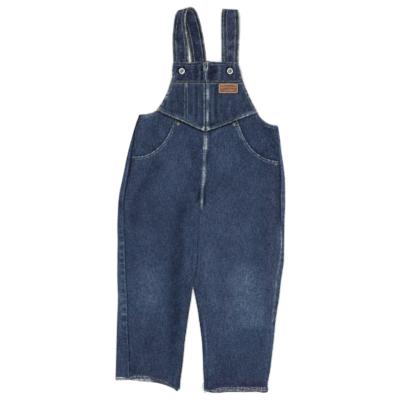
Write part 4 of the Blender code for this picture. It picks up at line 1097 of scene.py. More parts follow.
def back_leg(side):
    """Back of a leg from the inner fold, round the side fold, to the side seam."""
    corner = (EDGE_R if side < 0 else EDGE_L)[0][0]  # level of the upper corner
    hem_front, hem_back = (HEM_FRONT_R, HEM_BACK_R) if side < 0 else (HEM_FRONT_L, HEM_BACK_L)
    reach = FOLD_RADIUS + CLOTH / 2
    floor = CLOTH / 2

    def foot(y):
        line_x = np.where(y > CROTCH, along(CENTRE, y) + side * SEAM, inner_edge(side, y))
        return line_x + side * curl_points(y, 1)[2]

    columns = []
    edge_y = leg_levels(along(BACK_YOKE, foot(160.0)) - SEAM, along(hem_back, foot(-398.0)))[:, 0]
    for share in np.linspace(1, 0.17, 6):
        run, drop, _ = curl_points(edge_y, share)
        columns.append((foot(edge_y) - side * run, edge_y, floor + drop))
    for share in spread(140, fine=1.2, coarse=3.2):
        x_top = foot(165.0) + (outer_edge(side, corner) - side * reach - foot(165.0)) * share
        x_hem = foot(-395.0) + (outer_edge(side, -395.0) - side * reach - foot(-395.0)) * share
        y = leg_levels(along(BACK_YOKE, x_top) - SEAM, along(hem_back, x_hem))[:, 0]
        last = outer_edge(side, y) - side * reach
        columns.append((foot(y) + (last - foot(y)) * share, y, np.full(len(y), floor)))
    low_hem, high_hem = columns[-1][1][-1], along(hem_front, outer_edge(side, -385.0))
    for share in np.linspace(0.125, 1, 8):
        y = leg_levels(corner - 0.5, low_hem + (high_hem - low_hem) * share)[:, 0]
        x = outer_edge(side, y) - side * reach + side * FOLD_RADIUS * math.sin(math.pi * share)
        columns.append((x, y, np.full(len(y), floor + FOLD_RADIUS * (1 - math.cos(math.pi * share)))))
    folded = len(columns) - 8
    for share in spread(22, fine=1.0, coarse=1.6)[1:]:
        start, end = outer_edge(side, -385.0) - side * reach, side_seam(side, -385.0) + side * SEAM
        y = leg_levels(corner - 0.5, along(hem_front, start + (end - start) * share))[:, 0]
        start, end = outer_edge(side, y) - side * reach, side_seam(side, y) + side * SEAM
        x = start + (end - start) * share
        columns.append((x, y, front_level(side, x, y)))
    grid = np.stack([np.stack(c, -1) for c in columns], 1)
    cloth = Cloth(grid, CLOTH, up=-1)
    seat = [p for p in cloth.edge("left") if p[1] > -180][::3]
    cloth.worn_sides(3, (seat, 0.6), right=0.1, top=0.7, bottom=0.3)
    x, y = grid[..., 0], grid[..., 1]
    away, way = cloth.away_from("right", 3)
    lap = fall(8, 14, away)
    height = (0.35 * ease(0.3, 1.5, away) * fall(6.5, 9, away) + 0.32 * lap * ripple(way, 10, 1 + side))
    height *= (1 - 0.8 * ease(90, 130, y)) * ease(1.2, 2.6, grid[..., 2])
    under = np.zeros(x.shape)
    under[:, 6:folded] = 1
    calm = under * ease(2, 14, np.abs(x - outer_edge(side, y))) * ease(2, 14, np.abs(x - foot(y)))
    grooves = np.minimum(cloth.away_from("top", 3)[0], cloth.away_from("left", 3)[0])
    height -= under * (0.22 * bell(grooves, 1.2, 2) + 0.22 * bell(grooves, 1.2, 7.5))
    loose = strokes(BACK_CREASES, x, y) + 0.12 + 0.12 * rumple(x, y, 30, 8)
    height -= calm * np.maximum(0, loose) * ease(0, 12, grooves)
    cloth.raise_by(height)
    ladder = np.clip(0.8 * ripple(way, 15, 1 + side) + 0.6 * ripple(way, 6.3, 3), -1, 0.75)
    if side < 0:
        shown = along(WRAP_TONE_R, y)
        strong = 0.25 + 0.75 * ease(-340, -250, y) * fall(-60, 0, y)
        rungs = 0.2 * ladder * ease(2.2, 4.5, away) * fall(10, 14, away) * strong
        line_at = 2.6 + 1.9 * ease(20, 60, y)
        line_tone = (0.13 + 0.07 * ease(20, 60, y)) * bell(away, 1.2, line_at)
        line_tone *= 0.85 + 0.4 * ripple(way, 17, 2)
        low = fall(-100, -60, y)
        shown = shown + rungs + line_tone - 0.08 * low * bell(away, 1.6, 5.8)
        shown = shown - (0.25 + 0.15 * ease(20, 60, y)) * bell(away, 1.6 + 0.5 * ease(20, 60, y))
    else:
        shown = along(WRAP_TONE_L, y)
        bars = 0.1 * ladder * bell(away, 3.5, 4) * fall(120, 150, y)
        shown = shown + bars + line(JOINT_TONE, y) * bell(away, 1.5)
    hidden = along(hem_front, x) - y
    hem_shade = along(HEM_SHADE_L, hidden)
    if side < 0:
        pale = along(HEM_SHADE_R, hidden)
        hem_shade = pale + (-0.21 - pale) * ease(-108, -94, x)
    shade = np.where(y < -350, hem_shade, 0) * under
    cloth.fields["fade_and_shade"] = (strokes(BACK_FADES, x, y) + shade) * under + (1 - under) * shown
    cloth.fields["warm"] = strokes(WARM, x, y) * (1 - under)
    return cloth


def ruled(first, second, q, share):
    """Places on straight lines from one curve to another, at key q of both."""
    (ax, ay), (bx, by) = [[along([(k, row[c]) for k, row in enumerate(table)], q) for c in (0, 1)]
                          for table in (first, second)]
    return ax + (bx - ax) * share, ay + (by - ay) * share


def hip(side):
    """Piece seen behind the pocket opening, from the free edge down to under the leg's front."""
    upper, lower = (HIP_TOP_R, HIP_LOW_R) if side < 0 else (HIP_TOP_L, HIP_LOW_L)
    q = spread(100) * (len(upper) - 1)
    x, y = ruled(upper, lower, q, spread(110)[:, None])
    bow = side_seam(side, y) - side * SEAM - x[:, :1]
    x = x + bow * (1 - q / (len(upper) - 1)) ** 2
    cloth = Cloth(np.stack([x, y, front_level(side, x, y)], -1), CLOTH)
    cloth.worn((cloth.edge("top", 2), 0.6), (cloth.edge("left", 3), 0.3))
    away, way = cloth.away_from("top", 2)
    height = 0.22 * fall(7, 9, away) + 0.12 * ripple(way, 9, 3) * bell(away, 7)
    height += 0.1 * rumple(x, y, 22, 7) * ease(0, 8, cloth.away_from("left", 3)[0])
    cloth.raise_by(np.clip(height, -0.2, 0.35))
    to_pocket = trace(POCKET_R if side < 0 else POCKET_L, cloth.grid)[0]
    foot_shade = (0.21 if side < 0 else 0.13) * fall(1.5, 6.5, trace(BIB_FOOT, cloth.grid)[0])
    beside = cloth.away_from("left", 3)[0]
    foot_shade += (0.1 if side < 0 else -0.03) * fall(3, 7, beside)
    # painted shadow of the pocket's edge on the hip beside it
    tone = strokes(HIP_FADES_AND_SHADE, x, y) - 0.12 * fall(2, 5, to_pocket) - foot_shade
    cloth.fields["fade_and_shade"] = tone - 0.012 * side + 0.015
    return cloth


# --- bib ---
def slit_edge(side, y):
    """Edge of the bib over the zip; it opens beside the slider."""
    lip = BIB_LIP_R if side < 0 else BIB_LIP_L
    lip += (1.0 if side < 0 else -2.0) * ease(246, 254, y)
    sway = (0.35 * np.sin(y / 8) + 0.25 * np.sin(y / 3.3)) * ease(146, 160, y) * fall(236, 246, y)
    return along(CENTRE, y) + sway + side * (lip + (ZIP_HALF_TOP - lip) * ease(266, 279, y))


def lip(x, y):
    """Rise of the bib's edge over the chain."""
    away = np.abs(x - along(CENTRE, y))
    return 2.1 * fall(3.4, 8.5, away) * fall(266, 277, y) * ease(138, 150, y)


def bib(side):
    """Half of the bib, from the band down to its foot."""
    edge = ARMHOLE_R if side < 0 else ARMHOLE_L
    down, share = spread(80, coarse=2.2)[:, None], spread(95, coarse=2.2)[None, :]
    x, y = np.zeros((down.shape[0], share.shape[1])), np.full((down.shape[0], share.shape[1]), 200.0)
    for _ in range(30):
        x = along(edge, y) + (slit_edge(side, y) - along(edge, y)) * share
        y = 0.4 * y + 0.6 * (BAND_FOOT - SEAM + (along(BIB_FOOT, x) - BAND_FOOT) * down)
    cloth = Cloth(np.stack([x, y, bib_under(x, y) + CLOTH / 2 + lip(x, y)], -1), CLOTH)
    cloth.worn_sides(2, *([(SIDE_OF_BIB_SEAM, 0.1)] if side < 0 else []),
                     bottom=1.0 if side < 0 else 0.8, left=0.95, right=0.3, top=0.5)
    foot, foot_run = cloth.away_from("bottom", 2)
    arm, arm_run = cloth.away_from("left", 2)
    height = strokes(BIB_CREASES, x, y) + 0.1 * rumple(x, y, 20, 4) + 0.05 * rumple(x, y, 7, 6)
    height += 0.4 * fall(8, 10, foot) * (1 + 0.35 * ripple(foot_run, 8, 2))
    height += 0.22 * fall(6.5, 8.5, arm) * (1 + 0.6 * ripple(arm_run, 8, 5))
    for gap in (2.0, 6.6):
        height -= 0.18 * bell(foot, 0.9, gap)
    x0, y0, x1, y1 = LABEL  # its shade falls a little to the right
    beside = np.hypot(np.maximum(np.abs(x - (x0 + x1) / 2 - 0.6) - (x1 - x0) / 2, 0),
                      np.maximum(np.abs(y - (y0 + y1) / 2) - (y1 - y0) / 2, 0))
    if side < 0:
        away, way = trace(SIDE_OF_BIB_SEAM, cloth.grid)
        height += 0.4 * fall(3.2, 4.6, away) * (1 + 0.3 * ripple(way, 7, 4))
    cloth.raise_by(height)
    tone = strokes(BIB_FADES_AND_SHADE, x, y) + 0.04 * rumple(x, y * 0.15, 6, 21) + 0.04 * rumple(x, y * 0.4, 16, 22)
    cloth.fields["fade_and_shade"] = tone + 0.17 * fall(6, 8.5, foot) * ease(74, 92, x)
    cloth.fields["fade_and_shade"] -= 0.15 * bell(foot, 1.8, 6.8) * ease(14, 22, x) * fall(58, 72, x)
    cloth.fields["fade_and_shade"] -= (0.1 + 0.12 * ease(76, 79, x)) * fall(1, 4.5, beside)
    return cloth


def band(side, button):
    """Half of the band along the bib's top."""
    edge = ARMHOLE_R if side < 0 else ARMHOLE_L
    up, share = 1 - spread(43, coarse=1.8)[:, None], spread(68, coarse=2.0)[None, :]
    x, y = np.zeros((up.shape[0], share.shape[1])), np.full((up.shape[0], share.shape[1]), 260.0)
    for _ in range(20):
        x = along(edge, y) + (slit_edge(side, y) - along(edge, y)) * share
        y = BAND_FOOT + SEAM + (line(BAND_TOP, x) - BAND_FOOT - SEAM) * up
    cloth = Cloth(np.stack([x, y, bib_under(x, y) + DOUBLE / 2 + lip(x, y)], -1), DOUBLE)
    cloth.worn_sides(2, top=1.1, left=1.4, right=0.6, bottom=0.5)
    arm, arm_run = cloth.away_from("left", 2)
    top, top_run = cloth.away_from("top", 2)
    low, low_run = cloth.away_from("bottom", 2)
    height = 0.12 * rumple(x, y, 12, 9 + side) + 0.05 * rumple(x, y * 0.25, 5, 11)
    height += 0.4 * fall(8.5, 10, arm) * (1 + 0.3 * ripple(arm_run, 8, 3))
    height += 0.15 * ripple(top_run, 9, 2) * bell(top, 5) + 0.15 * ripple(low_run, 8, 5) * bell(low, 5)
    for away, gap in ((top, 7.0 if side < 0 else 5.4), (low, 3.2)):
        height -= 0.25 * bell(away, 1.0, gap)
    round_button = np.hypot(x - button[0], y - button[1])
    height -= 0.5 * bell(round_button, 6)
    cloth.raise_by(height)
    # painted shade round the button, darkest close to it
    cloth.fields["fade_and_shade"] = -0.5 * np.exp(-((round_button / 8.8) ** 4))
    cloth.fields["fade_and_shade"] += strokes(BAND_FADES_AND_SHADE, x, y) + 0.05 * rumple(x, y * 0.3, 6, 23)
    return cloth


def back_bib():
    """The piece of the back between the straps."""
    left = [(-116, 175.8), (-98, 178), (-80, 184), (-66, 195), (-54, 210), (-45, 224), (-40, BACK_TOP)]
    right = [(151, 155.1), (137, 158), (122, 166), (109, 180), (99, 198), (91, 217), (86, BACK_TOP)]
    q, share = (spread(80, coarse=2.6) * 6)[:, None], spread(200, coarse=3.0)[None, :]
    x, y = ruled(left, right, q, share)
    y = y + (along(BACK_YOKE, x) + SEAM - y) * (1 - q / 6) ** 2
    cloth = Cloth(np.stack([x, y, np.full(x.shape, CLOTH / 2)], -1), CLOTH, up=-1)
    cloth.worn_sides(3, top=0.8, left=0.8, right=0.8, bottom=0.8)
    edge = cloth.fields["seam"]
    height = 0.22 * bell(edge, 1.2, 2) + 0.22 * bell(edge, 1.2, 7.5)
    height += np.maximum(0, 0.12 + 0.14 * rumple(x, y, 26, 12)) * ease(0, 12, edge)
    cloth.raise_by(-height)
    return cloth


# --- straps ---
def strap(table, seams):
    """A strap over its turn and down the back; seams are gaps from its edges."""
    rows = np.array(table, float)
    keys = np.arange(len(rows))
    run = run_along(rows[:, :3] + rows[:, 3:]) / 2
    q = np.interp(np.linspace(0, run[-1], int(run[-1] / 2)), run, keys)
    ends = np.stack([along(list(zip(keys, rows[:, c])), q) for c in range(6)], 1)
    ends[:, [2, 5]] = np.maximum(ends[:, [2, 5]], DOUBLE / 2)
    share = spread(35, fine=0.9, coarse=1.6, zone=7)[None, :, None]
    cloth = Cloth(ends[:, None, :3] + (ends[:, None, 3:] - ends[:, None, :3]) * share, DOUBLE)
    cloth.worn_sides(2, left=0.6, right=1.3)
    x, y, z = np.moveaxis(cloth.grid, -1, 0)
    high = ease(1.3, 2.6, z)
    height = 0.1 * rumple(x, y, 14, 15)
    tone = 0.08 * rumple(x, y, 11, 17) + 0.03 * rumple(x, y, 5, 18) - 0.06 * (1 - high)
    tone += strokes(STRAP_FADES, x, y)
    for where, gaps in zip(("left", "right"), seams):
        away, way = trace(cloth.edge(where)[::2], cloth.grid)
        height += 0.2 * fall(8, 10, away) + 0.1 * ripple(way, 8, 2) * bell(away, 5)
        tone += 0.05 * fall(gaps[1], gaps[1] + 2, away)
        tone -= (0.13 + 0.14 * (1 - high)) * bell(away - gaps[1], 1.5, -2.9)
        for gap in gaps:
            height -= 0.2 * bell(away, 0.9, gap)
            tone += (0.1 + 0.12 * (1 - high)) * bell(away, 1.0, gap)
    cloth.raise_by(height * high)
    cloth.fields["fade_and_shade"] = tone
    return cloth


# --- zip ---
def teeth(heap, low, high):
    """Teeth of both sides between two places, each reaching past the middle line."""
    for k in range(int((ZIP_TOP - ZIP_END) / TOOTH_PITCH * 2)):
        y = ZIP_END + (k + 0.5) * TOOTH_PITCH / 2
        if not low <= y < high:
            continue
        side = 1 if k % 2 else -1
        slope = float(along(CENTRE, y + 1) - along(CENTRE, y - 1)) / 2
        x, z = float(along(CENTRE, y)), float(zip_level(y)) + TAPE + 0.3
        half = TOOTH_W / 2
        section = [(2.6, 0.1), (2.7, 1.1), (2.2, 1.8), (0.7, 2.0), (-0.5, 1.7), (-0.7, 0.9), (-0.5, 0.1)]
        points = [(x + side * a + slope * b, y + b - slope * side * a, z + c)
                  for b in (-half, half) for a, c in section]
        n = len(section)
        faces = [list(range(n)), list(range(n, 2 * n))[::-1]]
        faces += [[i, n + i, n + (i + 1) % n, (i + 1) % n] for i in range(n)]
        if side < 0:
            faces = [f[::-1] for f in faces]
        heap.add(points, faces)


def slider_piece(mat):
    """Shield-shaped body with side flanges and a bent arch that carries the pull tab."""
    x, y, z = float(along(CENTRE, TAB_Y)), TAB_Y + 0.4, BIB_UNDER
    w, d = SLIDER_W / 2, SLIDER_L / 2
    half = [(w * 0.98, 0.0), (w, 0.45 * d), (w * 0.92, 0.8 * d), (w * 0.6, 0.97 * d), (w * 0.2, d)]
    foot = [(w * 0.35, -d), (w * 0.6, -0.92 * d), (w * 0.72, -0.6 * d)]
    shape = half + [(-a, b) for a, b in half[::-1]] + [(-a, b) for a, b in foot[::-1]] + foot
    heap = Heap()
    for low, high, size in ((0, 1.3, 1.0), (1.2, 3.2, 0.78), (3.1, SLIDER_H, 1.0)):
        heap.add(*prism([(x + a * size, y + b * size) for a, b in shape[::-1]], z + low, z + high))
    path = [(-3.0, -0.4), (-3.0, 1.8), (-2.3, 2.8), (-0.8, 3.1), (0.8, 3.1), (2.3, 2.8), (3.0, 1.8),
            (3.0, -0.4)]
    points = [(x, TAB_Y + a, z + SLIDER_H + b - 0.2) for a, b in path]
    heap.add(*tube(points, [0.62] * len(points), 10))
    finish_edges(heap.piece("slider_look", mat, "zip_slider", "nickel", smooth=False), 0.28)


def finish_edges(obj, width):
    """Rounds an object's sharp edges."""
    step = obj.modifiers.new("round", "BEVEL")
    step.width, step.segments = width / 1000, 2
    step.limit_method, step.angle_limit = "ANGLE", math.radians(40)
    obj.data.polygons.foreach_set("use_smooth", [True] * len(obj.data.polygons))
    obj.data.set_sharp_from_angle(angle=math.radians(50))


def pull_tab_piece(mat):
    """Flat tab with an eye round the arch."""
    x, z = float(along(CENTRE, TAB_Y)), BIB_UNDER + SLIDER_H + TAB_LIFT
    t, w = TAB_T / 2, TAB_W / 2

    def outline(inset):
        half = [(w, 0.5), (w * 0.82, -4.6), (w * 0.8, 2.2 - TAB_L), (w * 0.62, 1.0 - TAB_L),
                (w * 0.25, 0.5 - TAB_L)]
        half = [(a - inset, max(b, 0.5 - TAB_L + inset) - (inset if b > 0 else 0)) for a, b in half]
        return half + [(-a, b) for a, b in half[::-1]]

    rim = outline(0)
    eye = [(1.35, -0.5), (1.35, -1.6), (1.35, -3.9), (0.6, -3.9), (0.1, -3.9)]
    eye = eye + [(-a, b) for a, b in eye[::-1]]
    n = len(rim)
    points = [(x + a, TAB_Y + b, z + s * t) for s in (-1, 1) for loop in (rim, eye) for a, b in loop]
    faces = []
    for k in range(n):
        m = (k + 1) % n
        faces.append((k, n + k, n + m, m))
        faces.append((2 * n + k, 2 * n + m, 3 * n + m, 3 * n + k))
        faces.append((k, m, 2 * n + m, 2 * n + k))
        faces.append((n + k, 3 * n + k, 3 * n + m, n + m))
    obj = add_mesh("pull_tab_look", points, faces, mat, smooth=False)
    settle(obj, "zip_pull_tab", "pull_tab")
    finish_edges(obj, 0.18)


# --- trims ---
def ring_button(name, place, strap_top, ring_mat, core_mat):
    """Ring on a stem; its dark cup has a slanting bar across it."""
    x, y = place[0], place[1] - 0.8
    under = float(bib_under(x, y)) + DOUBLE + 0.3
    stem = strap_top + 0.3 - under
    ring = [(0, stem), (1.3, stem), (1.3, 0), (4.8, 0), (5.5, 0.35), (5.85, 0.9), (5.95, 1.6), (5.85, 2.2),
            (5.5, 2.7), (5.05, 2.9), (4.7, 2.7), (4.4, 2.2), (4.25, 1.5), (4.2, 0.9), (0, 0.85)]
    obj = single(name + "_ring", turned(ring, (x, y, under)), ring_mat, name, "nickel")
    obj.data.set_sharp_from_angle(angle=math.radians(60))
    cup = [(0, 0.88), (4.1, 0.88), (4.15, 1.5), (3.6, 1.2), (0, 1.1)]
    single(name + "_core", turned(cup, (x, y, under), 32), core_mat, None, "nickel")
    bar = [(x + 0.8 + a * math.cos(1.2), y - 0.3 + a * math.sin(1.2), under + 1.2)
           for a in (-2.8, -1.8, 0, 1.8, 2.8)]
    single(name + "_slot", tube(bar, [0.3, 0.6, 0.85, 0.6, 0.3], 10), shaded_metal, None, "nickel")


def rivet(name, place, mat):
    """Domed rivet; the top ones carry a small off-centre cap of lighter brass, a painted highlight."""
    x, y, radius = place
    side = -1 if x < 0 else 1
    y -= 0.9 if "top" in name else 0.0
    z = float(front_level(side, x, y) + pocket_lift(x, y)) + CLOTH / 2 + 0.35
    profile = [(0, 0), (radius * 0.93, 0), (radius, 0.2), (radius, 0.45), (radius * 0.9, 0.8),
               (radius * 0.72, 0.85), (radius * 0.62, 0.75), (radius * 0.5, 0.95),
               (radius * 0.35, 1.3), (radius * 0.15, 1.45), (0, 1.48)]
    single(name + "_look", turned(profile, (x, y, z), 32), mat, name, "aged_brass")
    if "top" in name:
        # painted highlight: the lighter cap sits off the middle, towards the hems
        cap = turned([(0, 1.2), (1.9, 1.2), (2.1, 1.45), (1.5, 1.75), (0, 1.85)], (x + 0.5, y - 1.1, z), 24)
        single(name + "_cap", cap, brass_glint, None, "aged_brass")


def leather_label(mat):
    """Bare label with round corners and a pressed line along its rim."""
    x0, y0, x1, y1 = LABEL
    y, x = spread(y1 - y0, 0.35, 0.8, 3)[:, None], spread(x1 - x0, 0.35, 0.8, 3)[None, :]
    y, x = y1 + (y0 - y1) * y, x0 + (x1 - x0) * x
    cx, cy, hx, hy, r = (x0 + x1) / 2, (y0 + y1) / 2, (x1 - x0) / 2, (y1 - y0) / 2, 2.2
    over = np.minimum(np.abs(x - cx) - hx + r, np.abs(y - cy) - hy + r)
    round_off = np.maximum(over, 0) * 0.29
    x = x - np.sign(x - cx) * round_off
    y = y - np.sign(y - cy) * round_off
    cloth = Cloth(np.stack([x, y, bib_under(x, y) + CLOTH + 1.05], -1), 1.4)
    rim = np.vstack([cloth.edge("top", 2), cloth.edge("right", 2), cloth.edge("bottom", -2),
                     cloth.edge("left", -2)])
    cloth.worn((rim, 0.0))
    away = cloth.fields["seam"]
    cloth.raise_by(0.06 * rumple(x, y, 7, 3) - 0.28 * bell(away, 0.5, 2.1) - 0.2 * fall(0, 0.8, away))
    cloth.piece("label_look", mat, "leather", rests_on=["bib_left_look"])


# --- frayed hems ---
def fray(heaps, edge, down, seed, count_per_mm, reach):
    """Short loose yarns along a raw edge, in the colours of the two heaps."""
    rng = random.Random(seed)
    edge = np.asarray(edge)
    run = run_along(edge)
    for _ in range(int(run[-1] * count_per_mm)):
        q = rng.uniform(0, run[-1])
        start = np.array([np.interp(q, run, edge[:, c]) for c in range(3)])
        length, lean = reach * (0.3 + 0.7 * rng.random() ** 2), rng.gauss(0, 0.9)
        ahead = np.array([math.sin(lean), -math.cos(lean) * 0.6, rng.uniform(-0.2, 0.2)])
        bend = np.array([rng.gauss(0, 0.5), rng.gauss(0, 0.2), 0.0])
        points = np.array([start + (0, 0.7, down) + ahead * length * t + bend * length * t * t
                           for t in (0, 0.4, 0.75, 1.0)])
        points[:, 2] = np.maximum(points[:, 2], 0.3)
        heaps[rng.random() < 0.22].add(*tube(points, [0.3, 0.26, 0.2, 0.1], 4))


# --- build ---
denim_main = denim("denim_look", 0.50, 0.09, 0.16, 0.36)
denim_band = denim("denim_band_look", 0.455, 0.16, 0.40, 0.12, (1.0, 0.90, 0.89))
denim_bib = denim("denim_bib_look", 0.50, 0.09, 0.16, 0.36, (1.033, 1.0, 0.955))
denim_strap = denim("denim_strap_look", 0.480, 0.16, 0.46, 0.12, (1.05, 0.87, 0.84), (1.05, 1.06, 0.87))
cream = thread("thread_cream", (0.075, 0.095, 0.10), (0.43, 0.48, 0.45))
grey = thread("thread_grey", (0.06, 0.075, 0.075), (0.40, 0.445, 0.42))
dull = thread("thread_dull", (0.04, 0.05, 0.055), (0.26, 0.30, 0.31))
pale = thread("thread_pale", (0.075, 0.095, 0.115), (0.42, 0.465, 0.49))
drab = thread("thread_drab", (0.075, 0.09, 0.075), (0.33, 0.37, 0.30))
gold = thread("thread_gold", (0.13, 0.15, 0.11), (0.52, 0.55, 0.34))
pale_yarn = thread("yarn_pale", (0.42, 0.45, 0.48), (0.80, 0.82, 0.82))
blue_yarn = thread("yarn_blue", (0.06, 0.09, 0.15), (0.16, 0.21, 0.30))
nickel = plated("nickel_bright", (0.45, 0.46, 0.46), (0.97, 0.98, 0.98), 0.3, 3.5, 0.3)
old_nickel = plated("nickel_dull", (0.04, 0.05, 0.05), (0.265, 0.295, 0.305), 0.38, 2.0)
core_metal = plated("nickel_core", (0.04, 0.045, 0.045), (0.27, 0.29, 0.28), 0.38, 1.8)
slider_metal = plated("nickel_slider", (0.03, 0.037, 0.037), (0.19, 0.21, 0.215), 0.4, 2.4)
brass = plated("brass_aged", (0.012, 0.015, 0.011), (0.13, 0.145, 0.10), 0.4, 2.0, 0.6)
# lighter brass for the top rivets' caps, a painted highlight
brass_glint = plated("brass_glint", (0.06, 0.07, 0.06), (0.34, 0.37, 0.31), 0.4, 2.0, 0.6)
brass_dark = plated("brass_dark", (0.004, 0.007, 0.010), (0.026, 0.034, 0.038), 0.45, 2.0, 0.6)
brass_worn = plated("brass_worn", (0.014, 0.018, 0.016), (0.16, 0.17, 0.125), 0.45, 1.6, 0.6)
shaded_metal = plated("nickel_shaded", (0.015, 0.016, 0.018), (0.07, 0.07, 0.075), 0.45)
teeth_metal = plated("teeth_dull", (0.04, 0.042, 0.045), (0.17, 0.17, 0.165), 0.45, 1.6, 0.6)
leather = hide("leather_look")
tape = woven("zip_tape_look", (0.010, 0.014, 0.028), (0.045, 0.058, 0.095))

parts = {
    "back_leg_right": back_leg(-1), "back_leg_left": back_leg(1), "back_bib": back_bib(),
    "hip_right": hip(-1), "hip_left": hip(1),
    "front_leg_right": front_leg(-1), "front_leg_left": front_leg(1),
    "bib_right": bib(-1), "bib_left": bib(1),
    "band_right": band(-1, BUTTONS["button_right"]), "band_left": band(1, BUTTONS["button_left"]),
    "strap_right": strap(STRAP_R, STRAP_ROWS["strap_right"]),
    "strap_left": strap(STRAP_L, STRAP_ROWS["strap_left"]),
}
UNDER = {
    "back_leg_right": [], "back_leg_left": [], "back_bib": [], "hip_right": ["back_leg_right"],
    "hip_left": ["back_leg_left"], "front_leg_right": ["back_leg_right", "hip_right"],
    "front_leg_left": ["back_leg_left", "hip_left"], "bib_right": ["front_leg_right"],
    "bib_left": ["front_leg_left"], "band_right": ["strap_right"], "band_left": ["strap_left"],
    "strap_right": ["back_bib"], "strap_left": ["back_bib"],
}
for part_name, cloth in parts.items():
    kind = part_name.split("_")[0]
    look_of_kind = {"band": denim_band, "strap": denim_strap, "bib": denim_bib}.get(kind, denim_main)
    cloth.piece(part_name + "_look", look_of_kind, "denim_double" if kind in ("band", "strap") else "denim",
                "folded" if "strap" in part_name else "laid", UNDER[part_name])
leather_label(leather)

rows = Heap()
for name in ("strap_right", "strap_left"):
    for where, gaps in zip(("left", "right"), STRAP_ROWS[name]):
        for gap in gaps:
            for face in (1, -1):
                sew(rows, parts[name].inset(where, gap, face))
rows.piece("stitching_straps", grey)


def sew_on(heap, names, *rows, keep=None):
    """Rows of stitches, each an edge and a gap from it, on each of the named parts."""
    for name in names:
        for where, gap in rows:
            sew(heap, parts[name].inset(where, gap, keep=keep))


BIBS, BANDS, HIPS, BACKS = (
    (kind + "_right", kind + "_left") for kind in ("bib", "band", "hip", "back_leg")
)
rows = Heap()
sew_on(rows, BANDS, ("bottom", 3.2))
sew_on(rows, BIBS, ("top", 1.4))
rows.piece("stitching_band", gold)
rows = Heap()
bartack(rows, (-30.0, 241.0), 6.8, 11.6, float(bib_under(-29.7, 240)) + CLOTH + 0.4, 11)
rows.piece("bartack_bib", drab)

rows = Heap()
sew_on(rows, BIBS, ("left", 4.5), ("bottom", 2.0))
rows.piece("stitching_bib", cream)

rows = Heap()
sew_on(rows, HIPS, ("top", 2.2), ("top", 6.5))
for name, pocket, side in (("front_leg_right", POCKET_R, -1), ("front_leg_left", POCKET_L, 1)):

    def seen(x, y, z, corner=pocket[-1][0], side=side):
        return (x - corner) * side > 0

    sew_on(rows, [name], ("top", 1.4), ("top", 5.6), keep=seen)
rows.piece("stitching_pockets", pale)

rows = Heap()
for shift in (-3.0, 3.0):
    sew(rows, parts["bib_right"].on([(x + shift, y) for x, y in SIDE_OF_BIB_SEAM]))
sew_on(rows, BIBS, ("bottom", 6.6))
sew_on(rows, ["band_left"], ("left", 9.0), ("top", 5.4))
sew_on(rows, ["band_right"], ("top", 7.0))
for button_x, button_y in BUTTONS.values():  # round the buttonholes
    level = float(bib_under(button_x, button_y)) + DOUBLE - 0.1
    loop = [(button_x + 1.9 * math.sin(a), button_y + 9.2 * math.cos(a), level)
            for a in np.linspace(0, 2 * math.pi, 60)]
    sew(rows, (np.array(loop), np.tile([0.0, 0.0, 1.0], (60, 1))), 0.75, 0.9, 0.45)
rows.piece("stitching_bib_side", dull)

rows = Heap()
sew_on(rows, BACKS, *(("top", gap) for gap in BACK_ROWS), keep=lambda x, y, z: z < 1)
sew_on(rows, BACKS, *(("left", gap) for gap in BACK_ROWS), keep=lambda x, y, z: y > -172)
for where in ("top", "bottom", "left", "right"):
    sew_on(rows, ["back_bib"], *((where, gap) for gap in BACK_ROWS))
rows.piece("stitching_legs", cream)

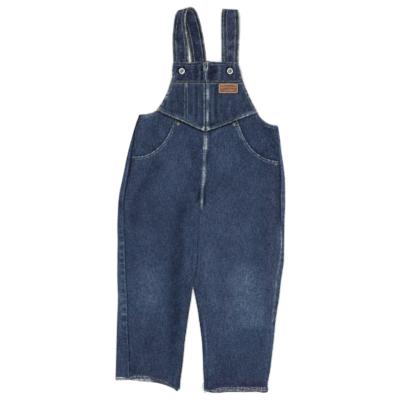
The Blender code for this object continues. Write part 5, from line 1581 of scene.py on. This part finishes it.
rows = Heap()
teeth(rows, ZIP_END, TEETH_COVERED)
rows.piece("teeth_open", teeth_metal, "zip_chain", "nickel", smooth=False)
rows = Heap()
teeth(rows, TEETH_COVERED, ZIP_TOP)
rows.piece("teeth_covered", shaded_metal, "zip_chain", "nickel", smooth=False)
slider_piece(slider_metal)
pull_tab_piece(old_nickel)
for name, strap_table in (("button_right", STRAP_R), ("button_left", STRAP_L)):
    ring_button(name, BUTTONS[name], strap_table[1][2] + DOUBLE / 2, nickel, core_metal)
for name, place in RIVETS.items():
    rivet(name, place, brass if "top" in name else brass_dark if "right" in name else brass_worn)
for node, mat in (("zip_tape_right", tape), ("zip_tape_left", tape), ("zip_stop", nickel)):
    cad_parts[node].data.materials.clear()
    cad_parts[node].data.materials.append(mat)

heaps = (Heap(), Heap())
for k, name in enumerate(("front_leg_right", "front_leg_left", "back_leg_right", "back_leg_left")):
    down, per_mm, reach = (0.4, 1.6, 1.9) if k < 2 else (0.0, 0.8, 1.6)
    fray(heaps, parts[name].edge("bottom"), down, 20 + k, per_mm, reach)
for k, path in enumerate(LOOSE):  # the first five are blue
    heaps[k < 5].add(*tube(path, [0.35] + [0.42] * (len(path) - 2) + [0.2], 5))
heaps[0].piece("frayed_hems_pale", pale_yarn)
heaps[1].piece("frayed_hems_blue", blue_yarn)


# --- stage ---
def area_light(name, place, energy, size):
    """A square lamp that looks at the garment."""
    data = bpy.data.lights.new(name, "AREA")
    data.energy, data.size = energy, size
    lamp = new_object(name, data)
    lamp.location = place
    lamp.rotation_mode = "QUATERNION"
    lamp.rotation_quaternion = lamp.location.to_track_quat("Z", "Y")
    lamp.visible_camera = False


floor_look = Look("floor_pale", 0.9)
floor_look.colour(floor_look.mix(floor_look.noise(300.0), (0.95, 0.95, 0.95), (0.97, 0.97, 0.97)))
plane = bpy.data.meshes.new("floor")
plane.from_pydata([(-8, -8, 0), (8, -8, 0), (8, 8, 0), (-8, 8, 0)], [], [(0, 1, 2, 3)])
plane.materials.append(floor_look.mat)
floor = new_object("floor", plane)
floor.location.z = FLOOR / 1000

world = bpy.data.worlds.new("studio")
world.use_nodes = True
world.node_tree.nodes["Background"].inputs["Color"].default_value = (1, 1, 1, 1)
world.node_tree.nodes["Background"].inputs["Strength"].default_value = 0.95
bpy.context.scene.world = world
area_light("key", (-1.0, 1.5, 2.5), 30, 1.0)
area_light("fill", (1.6, -1.0, 2.4), 8, 1.6)

lens = bpy.data.cameras.new("camera")
lens.sensor_width = 36
lens.lens = 36 / VIEW_WIDE * CAMERA_AWAY
lens.clip_end = 100
camera = new_object("camera", lens)
camera.location = (VIEW_X, VIEW_Y, CAMERA_AWAY)
bpy.context.scene.camera = camera
bpy.context.scene.view_settings.view_transform = "Standard"
